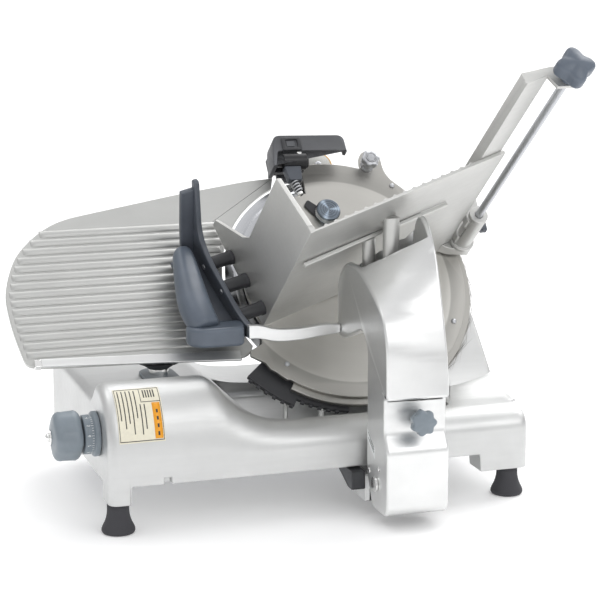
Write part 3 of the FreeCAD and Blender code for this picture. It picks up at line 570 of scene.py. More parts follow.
def leg_drop(x):
    """How far the front edge reaches below the floor of the base."""
    depth = BASE_FLOOR - LEG_FLOOR
    return depth * (1 - smooth_step(x, LEFT_LEG_END - 2, LEFT_LEG_END) + smooth_step(x, RIGHT_LEG_START, RIGHT_LEG_START + 2))


def housing_section(x):
    inset = end_inset(x)
    curve = front_curve(x)
    crest_y, top = curve[-1]
    high = min(max((top + inset - LOW_TOP) / (HIGH_TOP - LOW_TOP), 0.0), 1.0)
    deck = top - (top + inset - DECK_TOP) * smooth_step(high, 0.0, 1.0) if high > 0 else top
    deck = min(deck, top)
    rear = BASE_REAR - inset
    toe = BASE_FLOOR - leg_drop(x)
    points = [(curve[0][0], toe), (curve[0][0], -174.0)] + curve
    points += [(crest_y + 8, top)]
    points += [(crest_y + 8 + 34 * t, top + (deck - top) * smooth_step(t, 0, 1)) for t in (0.2, 0.4, 0.6, 0.8, 1.0)]
    points += [(crest_y + 60, deck), (rear - 60, deck), (rear - 24, deck)]
    points += [(rear - 24 * (1 - math.sin(a)), deck - 24 * (1 - math.cos(a)))
               for a in (math.pi / 2 * k / 6 for k in range(1, 7))]
    points += [(rear, min(-150.0, deck - 30.0)), (rear, BASE_FLOOR), (LEG_REAR + 1, BASE_FLOOR), (LEG_REAR, toe)]
    return points


def housing():
    """Base casting: rounded front, high at the left, a bowl under the knife and two front legs."""
    ends = [BASE_LEFT + d for d in (0, 0.6, 1.8, 3.5, 5.5, 8, 12)]
    curve = [-240 + 2.5 * k for k in range(60)]
    leg_ends = [LEFT_LEG_END - 2 + 0.5 * k for k in range(5)] + [RIGHT_LEG_START + 0.5 * k for k in range(5)]
    stations = ends + [-325, -300, -275, -250] + curve + [-80, -40, 0, 40, 80, 140, 160] + leg_ends
    stations += [BASE_RIGHT - d for d in (12, 8, 5.5, 3.5, 1.8, 0.6, 0)]
    mesh = solid([[(x, y, z) for y, z in housing_section(x)] for x in sorted(stations)])
    obj = made("housing", mesh, LEVEL, "housing_casting", False)
    legs = [moved(lathe([(0, LEG_FLOOR), (23, LEG_FLOOR), (23, -186), (0, -186)], 48), x, y)
            for x, y in ((-248, 110), (150, 110))]
    carved(obj, *legs, mode="UNION")
    bowl = softened(prism(rounded([(-170, -148), (45, -148), (45, 37), (-170, 37)], 26, 8), TROUGH_FLOOR, -60),
                    11, 4, 60, lambda edge: all(v.co.z < -0.12 for v in edge.verts))
    side_bowl = softened(prism(rounded([(20, -148), (92, -148), (92, -86), (20, -86)], 12, 6), TROUGH_FLOOR + 0.3, -60),
                         8, 3, 60, lambda edge: all(v.co.z < -0.12 for v in edge.verts))
    left, right = POST[0] - 13.5, POST[0] + 13.5
    slot = prism(rounded([(left, -43.5), (right, -43.5), (right, 1.0), (left, 1.0)], 13, 6), -140, -60)
    notch = prism(rounded([(-284, -200), (-275, -200), (-275, -180), (-284, -180)], 2), -200, -180)
    room = box((-278, -125, -146), (-228, 10, -104), 0)
    carved(obj, bowl, side_bowl, slot, notch, room)
    rim_softened(obj, 1.6, 3, 38)
    modifier = obj.modifiers.new("normals", "WEIGHTED_NORMAL")
    modifier.weight = 40
    return stands_for(obj, "base_casting")


def foot_meshes():
    profile = [(0, 0), (16.5, 0), (18.8, 0.8), (20, 3), (19.9, 5.5), (18.7, 8.5), (16.4, 13), (14.6, 18), (13.5, 23),
               (13.1, 28), (13.1, 36), (0, 36)]
    places = ((-336, -171), (160, -171), (-248, 110), (150, 110))
    low = -KNIFE.z / MM
    feet = merged(*[moved(lathe(profile, 64), x, y, low) for x, y in places])
    return stands_for(made("rubber_feet", feet, LEVEL, "foot_rubber"), "feet")


PEDESTAL = [(45, -190), (30, -120), (-18, -88), (-60, -52), (-80, 0), (-71, 40), (-42, 70), (0, 82), (45, 75), (90, 52),
            (135, 10), (165, -25), (174, -45), (178, -100), (183, -190)]


def pedestal():
    """The leaning column behind the knife, cut level where it stands on the housing."""
    column = softened(prism(rounded(PEDESTAL, 22, 6), -118, -14), 7, 4, 60)
    obj = made("pedestal", column, KNIFE_AXES, "housing_casting", False)
    below = placed(box((-300, -400, -500), (400, 400, LOW_TOP + 0.2), 0), KNIFE_AXES.inverted() @ LEVEL)
    carved(obj, below)
    rim_softened(obj, 0.8, 2, 50)
    stands_for(obj, "knife_pedestal")
    lid = made("pedestal_lid", softened(prism(rounded(PEDESTAL, 22, 6), -122.2, -118.1), 1.2, 2), KNIFE_AXES,
               "housing_casting", False)
    carved(lid, placed(box((-300, -400, -500), (400, 400, LOW_TOP + 0.2), 0), KNIFE_AXES.inverted() @ LEVEL))
    stands_for(lid, "rear_cover")
    detail("pedestal_skirt", skirt(), LEVEL, "base", "housing_casting", False)


def skirt():
    """The fillet where the front of the column runs out over the housing, wider to the right."""
    rings = []
    for k in range(17):
        x = 93 + 5.4 * k
        rise = 5 + 13 * (k / 16) ** 2
        z_high = LOW_TOP + rise
        y_high = -88 + rise * 0.78
        profile = [(y_high + 6, LOW_TOP - 1)]
        profile += [(-152 + (y_high + 152) * t, LOW_TOP - 0.6 + (z_high - LOW_TOP + 0.6) * t ** 2.2)
                    for t in (m / 10 for m in range(11))]
        profile.append((y_high + 6, z_high))
        rings.append([(x, y, z) for y, z in profile])
    return solid(rings)


# ---------------------------------------------------------------- index knob, dial and plate


def lobed(radius, depth, lobes, steps=96, phase=0.0):
    points = []
    for k in range(steps):
        angle = 2 * math.pi * k / steps
        reach = radius - depth * (0.5 - 0.5 * math.cos(lobes * angle + phase))
        points.append((reach * math.cos(angle), reach * math.sin(angle)))
    return points


def lobed_knob(radius, depth, lobes, height, edge, crown=1.5, steps=96, phase=0.0):
    """A hand knob with rounded rims and a slightly domed face."""
    outline = lobed(radius, depth, lobes, steps, phase)
    rings = [[(0, 0, 0)]]
    for scale, level in knob_levels(radius, height, edge, crown):
        rings.append([(x * scale, y * scale, level) for x, y in outline])
    rings.append([(0, 0, height)])
    return solid(rings, False)


def knob_levels(radius, height, edge, crown):
    inner = 1 - edge / radius
    levels = [(0.35, 0.0), (inner, 0.0)]
    for k in range(1, 6):
        a = math.pi / 2 * k / 5
        levels.append((1 - edge / radius * (1 - math.sin(a)), edge * (1 - math.cos(a))))
    for k in range(0, 6):
        a = math.pi / 2 * k / 5
        levels.append((1 - edge / radius * (1 - math.cos(a)), height - crown - edge * (1 - math.sin(a))))
    levels += [(inner * 0.8, height - crown * 0.62), (inner * 0.5, height - crown * 0.2)]
    return levels


INDEX = (-130.0, -136.0)
TO_LEFT = Vector((-1, 0, 0))


def index_knob():
    """Thickness knob: a rounded square with finger dimples, clamped by a dome nut."""
    height = 36.0
    mesh = lobed_knob(31, 4.0, 4, height, 11.0, 2.6, 128, math.radians(0))
    for vert in mesh.verts:
        spot = vert.co / MM
        angle = math.atan2(spot.y, spot.x)
        around = abs(((angle + math.pi / 4) % (math.pi / 2)) - math.pi / 4) * 31
        dent = 1.8 * math.exp(-((around / 10.5) ** 4) - ((spot.z - 18) / 8.0) ** 4)
        if math.hypot(spot.x, spot.y) > 20:
            vert.co -= Vector((math.cos(angle), math.sin(angle), 0)) * dent * MM
    place = level_axes(-370.6, *INDEX, TO_LEFT)
    washer = lathe([(0, height - 1), (9.5, height - 1), (9.5, height + 0.6), (8.8, height + 1.1), (0, height + 1.1)], 48)
    stands_for(made("thickness_knob", merged(mesh), place, "knob_plastic"), "index_knob")
    nut = lathe([(0, height + 5.9), (2.3, height + 5.7), (4.2, height + 4.6), (4.9, height + 3.2), (5.1, height + 1),
                 (0, height + 1)], 40)
    detail("index_nut", merged(washer, nut), place, "index", "bright_steel")


def dial_collar():
    """Fixed collar behind the thickness knob, with raised graduation marks and numbers."""
    place = level_axes(-350.2, *INDEX, TO_LEFT)
    profile = [(6.3, 0.2), (26, 0.2), (27, 1.2), (27, 5.4), (26.2, 6.6), (24.2, 7.2), (23.4, 8), (23.4, 17.4),
               (22.8, 18.4), (21.6, 18.9), (6.3, 18.9)]
    stands_for(made("dial", lathe(profile, 96), place, "knob_plastic"), "dial_collar")
    marks = []
    for k in range(41):
        tall = 3.4 if k % 4 == 0 else 2.0
        tick = box((-0.22, 23.2, 8.2), (0.22, 23.62, 8.2 + tall), 0.05, 1)
        marks.append(placed(tick, Matrix.Rotation(math.radians(100 - 7.5 * k), 4, "Z")))
    detail("dial_marks", merged(*marks), place, "base", "white_ink")
    for number in range(11):
        dial_number(number, place, math.radians(100 - 30 * number))


def dial_number(number, place, angle):
    """A printed number bent round the dial collar."""
    curve = bpy.data.curves.new("digits", "FONT")
    curve.body = str(number)
    curve.size = 5.2 * MM
    curve.extrude = 0.05 * MM
    curve.align_x = "CENTER"
    helper = bpy.data.objects.new("digits", curve)
    bpy.context.scene.collection.objects.link(helper)
    bpy.context.view_layer.update()
    flat = bpy.data.meshes.new_from_object(helper.evaluated_get(bpy.context.evaluated_depsgraph_get()))
    bpy.data.objects.remove(helper)
    mesh = bmesh.new()
    mesh.from_mesh(flat)
    radius = 23.5 * MM
    for vert in mesh.verts:
        turn = angle + math.pi / 2 - vert.co.x / radius
        reach = radius + vert.co.z
        vert.co = Vector((reach * math.cos(turn), reach * math.sin(turn), 12.6 * MM + vert.co.y * 0.95))
    detail("dial_number_%02d" % number, mesh, place, "base", "white_ink", False)


def curved_patch(x_low, x_high, start, end, lift, thick=0.12, steps=14):
    """A thin sheet on the front curve of the housing; start and end run up the curve from 0 to 1."""
    curve = front_curve(-300.0, 60)
    heights = []
    for k in range(steps + 1):
        t = (start + (end - start) * k / steps) * 60
        index = min(int(t), 59)
        a, b = Vector(curve[index]), Vector(curve[index + 1])
        normal = Vector((-(b - a).y, (b - a).x)).normalized()
        spot = a.lerp(b, t - index)
        heights.append((spot + normal * lift, spot + normal * (lift + thick)))
    rings = []
    for x in (x_low, x_high):
        rings.append([(x, p.x, p.y) for p, _ in heights] + [(x, p.x, p.y) for _, p in reversed(heights)])
    return solid(rings)


def plate_patch(left, right, low, high, lift, thick=0.12):
    """A patch of the data plate; its edges are fractions of the plate's width and height."""
    x_low, x_high, start, end = -336.3, -281.2, 0.19, 0.8
    return curved_patch(x_low + left * (x_high - x_low), x_low + right * (x_high - x_low),
                        start + low * (end - start), start + high * (end - start), lift, thick)


def data_plate():
    """Printed plate with plain fields and bars instead of words."""
    stands_for(made("plate_film", plate_patch(0, 1, 0, 1, 0.25, 0.25), LEVEL, "label"), "label_plate")
    line = 0.012
    border = [plate_patch(0.02, 0.02 + line, 0.02, 0.98, 0.5), plate_patch(0.98 - line, 0.98, 0.02, 0.98, 0.5),
              plate_patch(0.02, 0.98, 0.02, 0.02 + line, 0.5), plate_patch(0.02, 0.98, 0.98 - line, 0.98, 0.5),
              plate_patch(0.556, 0.556 + line, 0.67, 0.98, 0.5), plate_patch(0.556, 0.98, 0.67 - line, 0.67, 0.5)]
    bars = []
    lengths = (0.58, 0.71, 0.63, 0.8, 0.55, 0.5, 0.42)
    for index, length in enumerate(lengths):
        left = 0.08 + 0.088 * index
        top = 0.93 if left < 0.5 else 0.62
        bars.append(plate_patch(left, left + 0.022, max(top - length, 0.08), top, 0.5))
    emblem = [plate_patch(0.63 + 0.055 * k, 0.656 + 0.055 * k, 0.75, 0.93, 0.5) for k in range(5)]
    detail("plate_print", merged(*border, *bars, *emblem), LEVEL, "base", "black_ink", False)
    detail("plate_band", plate_patch(0.78, 0.955, 0.045, 0.64, 0.5), LEVEL, "base", "orange_ink", False)
    marks = [plate_patch(0.85, 0.89, low, low + 0.06, 0.62) for low in (0.09, 0.21, 0.33, 0.45)]
    detail("plate_band_marks", merged(*marks), LEVEL, "base", "black_ink", False)


# ---------------------------------------------------------------- carriage arm

ARM_LEFT = [(-267, -229), (-274, -221), (-274, -149), (-262, -131), (-262, -88), (-271, -88), (-269, -24), (-256, 7),
            (-225, 27), (-190, 42), (-165, 50), (-118, 48), (-95, 27), (-95, -46), (-118, -48), (-184, -20),
            (-203, -38), (-203, -190), (-222, -229)]
ARM_RIGHT = [(-267, -229), (-274, -221), (-274, -149), (-262, -131), (-262, -88), (-274, -88), (-266, -40), (-254, 0),
             (-238, 45), (-226, 73), (-209, 99), (-189, 116), (-172, 112), (-150, 30), (-160, -6), (-184, -12),
             (-203, -38), (-203, -190), (-222, -229)]
HOLLOW_LEFT = [(-267, -240), (-267, -154), (-257, -131), (-257, -93), (-264, -90), (-262, -26), (-250, 1), (-220, 20),
               (-169, 40.5), (-163, 72), (-118, 74), (-102, 60), (-102, -17), (-117, -24), (-182, -12), (-209, -36),
               (-209, -188), (-209, -240)]
HOLLOW_RIGHT = [(-267, -240), (-267, -154), (-257, -131), (-257, -93), (-267, -90), (-260, -42), (-248, -3),
                (-232, 42), (-206, 93), (-226, 112), (-189, 150), (-170, 150), (-157, 32), (-167, 1), (-184, -5),
                (-209, -36), (-209, -188), (-209, -240)]
ARM_X = (-38.0, 40.0)


def arm():
    """Hollow carriage arm with an open top that reaches back under the tray."""
    left, right = ARM_X
    sides = [rounded(points, [7, 7, 6, 5, 3, 4, 14, 14, 18, 16, 16, 14, 12, 8, 14, 14, 12, 8, 8], 5)
             for points in (ARM_LEFT, ARM_RIGHT)]
    rings = []
    for k in range(9):
        t = k / 8
        rings.append([(left + (right - left) * t, *a.lerp(b, t)) for a, b in zip(*sides)])
    outer = solid(rings)
    softened(outer, 3.4, 4, 50, lambda edge: abs(edge.verts[0].co.x - edge.verts[1].co.x) < 1e-6
             and min(abs(edge.verts[0].co.x / MM - x) for x in ARM_X) < 0.01)
    obj = made("arm_casting", outer, LEVEL, "cast_aluminium", False)
    hollow_left, hollow_right = [rounded(points, 6, 3) for points in (HOLLOW_LEFT, HOLLOW_RIGHT)]
    rings = []
    for k in range(5):
        t = k / 4
        rings.append([(left + 5 + (right - left - 10) * t, *a.lerp(b, t)) for a, b in zip(hollow_left, hollow_right)])
    hollow = solid(rings)
    doorway = box((left + 6, -225, -240), (right - 6, -195, -180), 0)
    carved(obj, hollow, doorway)
    rim_softened(obj, 1.1, 2, 40)
    modifier = obj.modifiers.new("normals", "WEIGHTED_NORMAL")
    modifier.weight = 40
    stands_for(obj, "carriage_arm")
    shelf = box((left + 5.1, -190, -2), (right - 5.1, -130, 6), 1.0)
    detail("arm_shelf", shelf, LEVEL, "arm", "cast_aluminium")
    arm_details()


def arm_details():
    """Fittings on the arm's left side: blank plate, set screw and small cover screw."""
    face = ARM_X[0]
    plate = prism(rounded([(-232, -168), (-206, -150), (-206, -137), (-232, -155)], 1.0, 3), face - 0.35, face + 0.5,
                  "yz")
    detail("arm_plate", softened(plate, 0.1, 1), LEVEL, "arm", "white_ink")
    marks = []
    for row in range(3):
        y, z = -229.5, -160.5 + row * 3.0
        length = (19, 14, 20)[row]
        marks.append(prism([(y, z), (y + length, z + length * 0.69), (y + length, z + length * 0.69 + 1.1),
                            (y, z + 1.1)], face - 0.5, face, "yz"))
    detail("arm_plate_marks", merged(*marks), LEVEL, "arm", "black_ink", False)
    screws = [screw_mesh(3.4, 1.3)]
    screws = [placed(mesh, level_axes(face - 0.2, -214, -186, TO_LEFT)) for mesh in screws]
    screws.append(placed(screw_mesh(2.6, 1.2), level_axes(face - 0.2, -246, -176, TO_LEFT)))
    detail("arm_screws", merged(*screws), Matrix.Identity(4), "arm", "bright_steel")


def screw_mesh(radius, height, slot_width=0.8):
    """A pan-head screw with a cross recess, its seat at local z 0."""
    head = lathe([(0, height), (radius * 0.55, height * 0.94), (radius * 0.85, height * 0.7), (radius, height * 0.25),
                  (radius, 0), (0, 0)], 32)
    arms = []
    for turn in (0, 90):
        arms.append(placed(box((-radius * 0.6, -slot_width / 2, height * 0.55), (radius * 0.6, slot_width / 2,
                                                                                height * 0.99), 0.05, 1),
                           Matrix.Rotation(math.radians(turn + 20), 4, "Z")))
    return merged(head, *arms)


def tilt_knob():
    forward = Vector((0, -1, 0))
    place = level_axes(2, -265, -112, forward)
    head = moved(lobed_knob(16, 2.6, 7, 14, 3.6, 1.6, 112), 0, 0, 14)
    ring = lathe([(10.6, 27.4), (11.0, 28.15), (11.6, 27.4), (11.0, 27.0)], 64)
    neck = lathe([(0, 2.4), (8.6, 2.4), (9, 3.2), (9, 8), (12, 13.2), (12, 16), (0, 16)], 48)
    stands_for(made("tilt_hand_knob", merged(head, neck), place, "knob_plastic"), "tilt_knob")


# ---------------------------------------------------------------- handle

RAIL = [(172, 113), (163, 117), (143, 84), (124.6, 53), (93.9, 41.5), (50, 46), (4.4, 50.3), (-26, 66), (-33, 58),
        (-16, 34), (20, 20), (60, 12), (100, 8), (114, 8), (124.3, 13), (145, 55), (165.8, 102.6)]
WEB_HIGH = [(166, 103), (145, 55), (124.3, 13), (118, 9.4), (116, 14), (120, 17), (140, 58), (160, 105)]
WEB_LOW = [(118, 9.4), (114, 8), (100, 8), (60, 12), (20, 20), (-16, 34), (-18, 40), (20, 26), (60, 18), (100, 14),
           (116, 14)]
STANDOFFS = ((96, 18), (56, 28), (12, 34))
RAIL_SCREWS = ((92, 24), (48, 38))


def handle_rail():
    """Dark rail on three standoffs, with a web along its rear edge that carries the grip."""
    flange = softened(prism(rounded(RAIL, [6, 6, 20, 20, 24, 20, 20, 7, 7, 16, 20, 20, 14, 12, 14, 20, 6], 6), -49, -42,
                            "yz"), 1.8, 4)
    high = softened(prism(rounded(WEB_HIGH, [2, 12, 10, 4, 4, 6, 12, 2], 5), -66, -46, "yz"), 1.4, 3)
    low = softened(prism(rounded(WEB_LOW, [2, 6, 8, 12, 12, 2, 2, 12, 12, 8, 3], 5), -82, -46, "yz"), 1.4, 3)
    stands_for(made("rail", merged(flange, high, low), WALL_AXES, "dark_plastic"), "handle_rail")
    across = Matrix.Rotation(math.pi / 2, 4, "Y")
    boss = [(0, 0), (8.5, 0), (8.5, 30), (9.4, 31), (9.4, 35.5), (8.6, 36.3), (0, 36.3)]
    bosses = [placed(lathe(boss, 48), Matrix.Translation(Vector((-42.2, y, n)) * MM) @ across) for y, n in STANDOFFS]
    detail("rail_bosses", merged(*bosses), WALL_AXES, "arm", "black_casting")
    outward = Matrix.Rotation(-math.pi / 2, 4, "Y")
    screws = [placed(screw_mesh(3.6, 1.8), Matrix.Translation(Vector((-49.1, y, n)) * MM) @ outward)
              for y, n in RAIL_SCREWS]
    stands_for(made("rail_screws", merged(*screws), WALL_AXES, "machine_steel"), "handle_screws")


# Centres and radii down the palm grip.
GRIP = [(-69.5, 123, 31.2, 1.5), (-69.8, 121.6, 31.4, 6.5), (-70.4, 119, 31.8, 10), (-71.3, 115, 32.3, 12.6),
        (-72.6, 109, 33, 14.2), (-74.6, 102, 33.8, 15.2), (-78.8, 88, 36, 17), (-83.4, 72.6, 38.5, 18.5),
        (-87.6, 58, 41, 19.9), (-91.2, 44, 44, 20.5), (-93.6, 30, 47, 20.4), (-94.8, 17, 50, 19.4),
        (-94.7, 6, 52.4, 18), (-94, -1, 54, 16.5)]
CAP = [(-229, -88), (-227, -100), (-217, -110), (-206, -112), (-163, -112), (-150, -68), (-152, -66), (-206, -66),
       (-217, -68), (-227, -77)]


def swell(angle, centre, amount, width):
    """A soft ridge (or groove) round a section, centred on one direction."""
    turn = math.atan2(math.sin(angle - centre), math.cos(angle - centre))
    return 1 + amount * math.exp(-(turn / width) ** 2)


def grip():
    """Palm grip: a tapering swell with a soft ridge down its length, closed by an end cap."""
    x, y, n, _ = GRIP[0]
    rings = [[(x, y + 1.2, n - 0.2)]]
    steps = 48
    for x, y, n, radius in GRIP:
        ring = []
        for k in range(steps):
            angle = 2 * math.pi * k / steps
            reach = radius * swell(angle, 2.2, 0.1, 0.5) * swell(angle, 1.2, -0.07, 0.45)
            ring.append((x + reach * math.cos(angle), y + 0.2 * reach * math.sin(angle), n + reach * math.sin(angle)))
        rings.append(ring)
    obj = made("palm_grip", solid(rings), WALL_AXES, "grip_plastic", False)
    modifier = obj.modifiers.new("smooth", "SUBSURF")
    modifier.levels = modifier.render_levels = 2
    stands_for(obj, "handle_grip")
    mesh = softened(prism(rounded(CAP, [10, 10, 10, 10, 7, 5, 4, 10, 10, 10], 5), -48, -24), 5.0, 6)
    stands_for(made("grip_end_cap", mesh, LEVEL, "grip_plastic"), "handle_end_cap")


def handle_bar():
    top = [(-156, -24), (-142, -24), (-122, -31), (-90, -32), (-60, -28.5), (-38.3, -30)]
    bottom = [(-38.3, -41), (-60, -43), (-90, -47), (-122, -47), (-142, -41), (-156, -41)]
    outline = rounded(top, 18, 8, False) + rounded(bottom, 18, 8, False)
    mesh = softened(prism(outline, -109, -97, "xz"), 2.2, 4)
    stands_for(made("carriage_bar", mesh, LEVEL, "cast_aluminium"), "handle_bar")


# ---------------------------------------------------------------- gauge plate

GAUGE = [(-62, 156.9), (-98, 154.5), (-193, 140), (-292, 122), (-338, 113.6), (-360.5, 106), (-382, 93), (-402, 75),
         (-414.5, 59), (-425, 35), (-431.5, 10), (-431, -12), (-428, -40), (-421, -74), (-418, -84), (-410, -88),
         (-380, -90), (-138, -95)]


def left_edge(u):
    edge = GAUGE[5:15]
    for (x0, u0), (x1, u1) in zip(edge, edge[1:]):
        if u1 <= u <= u0:
            return x0 + (x1 - x0) * (u - u0) / (u1 - u0)
    return edge[0][0]


def gauge_plate():
    """Ribbed thickness plate, cut round the knife, with a lip along its lower edge."""
    outline = rounded(GAUGE, [1] + [14] * (len(GAUGE) - 1), 4)
    plate = made("gauge_face", prism(outline, -6, 0), KNIFE_AXES, "gauge_aluminium", False)
    carved(plate, moved(lathe([(0, -20), (156, -20), (156, 20), (0, 20)], 192)))
    rim_softened(plate, 1.0, 2, 50)
    modifier = plate.modifiers.new("normals", "WEIGHTED_NORMAL")
    modifier.weight = 60
    stands_for(plate, "gauge_plate")
    ribs = []
    for k in range(15):
        u = 92 - 11.7 * k
        reach = math.sqrt(max(161 ** 2 - u * u, 0))
        ribs.append(half_round(left_edge(u) + 4.5, min(-141, -reach + 1), u, 5.1, 2.4))
    detail("gauge_ribs", merged(*ribs), KNIFE_AXES, "gauge", "gauge_aluminium", False)
    lip = softened(prism(rounded([(-404, -79), (-152, -86.6), (-152, -100.4), (-408, -89)], [4, 1, 1, 4], 4), -0.5, 3.5),
                   1.2, 3)
    detail("gauge_lip", lip, KNIFE_AXES, "gauge", "cast_aluminium")
    detail("gauge_lip_end", box((-409, -90, -5.5), (-400, -80, 4.2), 1.2, 3), KNIFE_AXES, "gauge", "bright_steel")


def half_round(left, right, u, half, height):
    """A rib with a rounded back that runs out smoothly at its left end."""
    sections = [(left, 0.05), (left + 1.5, 0.45), (left + 4, 0.8), (left + 8, 1.0), (right - 4, 1.0), (right - 1, 0.8),
                (right, 0.3)]
    rings = []
    for x, grow in sections:
        rings.append([(x, u + half * math.cos(a), -0.4 + (height + 0.4) * grow * math.sin(a))
                      for a in (math.pi * k / 10 for k in range(11))])
    return solid(rings)


def gauge_support():
    refined("gauge_support", 1.0, 2, "cast_aluminium")
    funnel = [(11.3, 0), (13.0, 0.6), (15.0, 2.2), (20.5, 6.0), (26, 8), (26, 9.3), (11.3, 9.3)]
    collar = moved(lathe(funnel, 64), *POST, -88.0)
    stands_for(made("post_funnel", collar, LEVEL, "black_casting"), "post_collar")
    sleeve = moved(lathe([(11.06, -97), (12.4, -97), (12.4, -86), (11.06, -86)], 64), *POST)
    detail("post_sleeve", sleeve, LEVEL, "gauge", "bright_steel")
    seal = softened(prism(arc(22, 0, 180, 20, (0, 10)) + arc(22, 180, 360, 20, (0, -22)), -0.1, 3.4), 1.2, 3)
    stands_for(made("slot_seal", moved(seal, *POST, -97.7), LEVEL, "knob_plastic"), "gauge_seal")


# ---------------------------------------------------------------- knife, guard, cover


def knife_and_guard():
    profile = [(0, -5), (140.5, -5), (152.5, -1.4), (152.5, -1.1), (141, -1.2), (138.5, -2), (0, -2)]
    stands_for(made("blade", lathe(profile, 192), KNIFE_AXES, "knife_steel", False), "knife").data.set_sharp_from_angle(
        angle=math.radians(8))
    refined("ring_guard", 1.2, 3, None, 28, KNIFE_AXES)


COVER_TAB = rounded([(123.5, 108.6), (118, 121), (108, 132), (96, 144), (90, 158), (90, 180), (80, 189), (66, 187),
                     (59, 176), (58.5, 161.2)], [0, 6, 12, 12, 12, 8, 8, 8, 6, 0], 6, False)
COVER = arc(164.5, -126, 41, 80) + COVER_TAB + arc(171.5, 70.5, 97.7, 16) + arc(131, 100.4, 205, 60) + [
    Vector(p) for p in ((-124, -82), (-140, -90), (-141, -97), (-124, -108), (-119, -117), (-112, -122), (-106, -128),
                        (-100, -133))]


def knife_cover():
    """Cover over the knife: flat rim, dished middle, corner plate and top tab."""
    obj = made("cover_plate", prism(COVER, 1.2, 6.2), KNIFE_AXES, "cover_metal", False)
    dish = lathe([(0, 4.3), (70, 4.35), (108, 4.5), (126, 4.8), (137, 5.4), (143.5, 6.3), (143.5, 12), (0, 12)], 160)
    carved(obj, dish)
    rim_softened(obj, 0.7, 2, 50)
    modifier = obj.modifiers.new("normals", "WEIGHTED_NORMAL")
    modifier.weight = 30
    stands_for(obj, "knife_cover")
    screws = [moved(screw_mesh(3.5, 2.4), x, u, 6.3) for x, u in ((97, 133), (-97, -112), (136, -70), (60, -142))]
    stands_for(made("cover_screw_heads", merged(*screws), KNIFE_AXES, "machine_steel"), "cover_screws")


def cover_knobs():
    spun = lathe([(0, 15), (13.4, 15), (14.6, 14.6), (15.4, 13.6), (16, 12.4), (16, 4.2), (15.2, 3.2), (11.5, 0.8),
                  (11, 0), (0, 0)], 96)
    place = KNIFE_AXES @ Matrix.Translation(Vector((-2, 96, 4.6)) * MM)
    obj = made("spun_knob", spun, place, "spun_steel")
    obj.data.set_sharp_from_angle(angle=math.radians(30))
    stands_for(obj, "cover_knob")
    grooves = [moved(lathe([(15.9, 0), (16.25, 0.5), (15.9, 1.0)], 96), 0, 0, 5.5 + 1.7 * k) for k in range(4)]
    detail("spun_knob_grooves", merged(*grooves), place, "cover_knob", "bright_steel", False)
    lever = softened(prism(rounded([(-30, 110), (-24, 118), (-8, 104), (-2, 92), (-12, 88), (-20, 96)], 3, 4), 4.5, 8.2),
                     0.7, 2)
    detail("cover_latch", lever, KNIFE_AXES, "base", "black_casting")
    place = KNIFE_AXES @ Matrix.Translation(Vector((68, 164, 6.4)) * MM)
    head = moved(lobed_knob(12.6, 1.9, 6, 11, 2.6, 1.2, 140), 0, 0, 13.5)
    recess = lathe([(5.8, 24.2), (6.6, 24.75), (7.4, 24.2)], 48)
    neck = lathe([(0, 0), (8.6, 0), (9, 0.6), (9, 3.4), (7, 4.4), (6.6, 8), (7.6, 12), (10, 14.2), (0, 15)], 64)
    stands_for(made("polished_knob", merged(head, neck, recess), place, "machine_steel"), "guard_knob")


def deflector():
    """Black curved slice deflector with small teeth, on two bright rods."""
    refined("slice_deflector", 0.8, 2, "black_casting", 28, KNIFE_AXES)
    teeth = []
    for k in range(11):
        angle = 221 + 3.6 * k
        radius = 188 if angle < 240 else 178
        tooth = box((-2.6, -2.2, -13.4), (2.6, 2.6, -8.2), 0.6, 2)
        turn = Matrix.Rotation(math.radians(angle - 90), 4, "Z")
        teeth.append(placed(tooth, turn @ Matrix.Translation(Vector((0, radius, 0)) * MM)))
    detail("deflector_teeth", merged(*teeth), KNIFE_AXES, "base", "black_casting")
    refined("deflector_rods", 0.3, 1, "bright_steel")


# ---------------------------------------------------------------- sharpener


HOOD = [(-72, 150), (-66, 190), (-60, 196), (26, 193), (31, 188), (32, 163), (27, 158), (16, 159), (15, 169),
        (-61, 171.5), (-66.5, 150)]
HOOD_HOLLOW = [(-63, 140), (-61.5, 188), (-57.5, 191.8), (23, 189.2), (27.4, 186), (28.2, 164), (26.5, 140)]
STONE = (6.0, 176.5, -10.8)


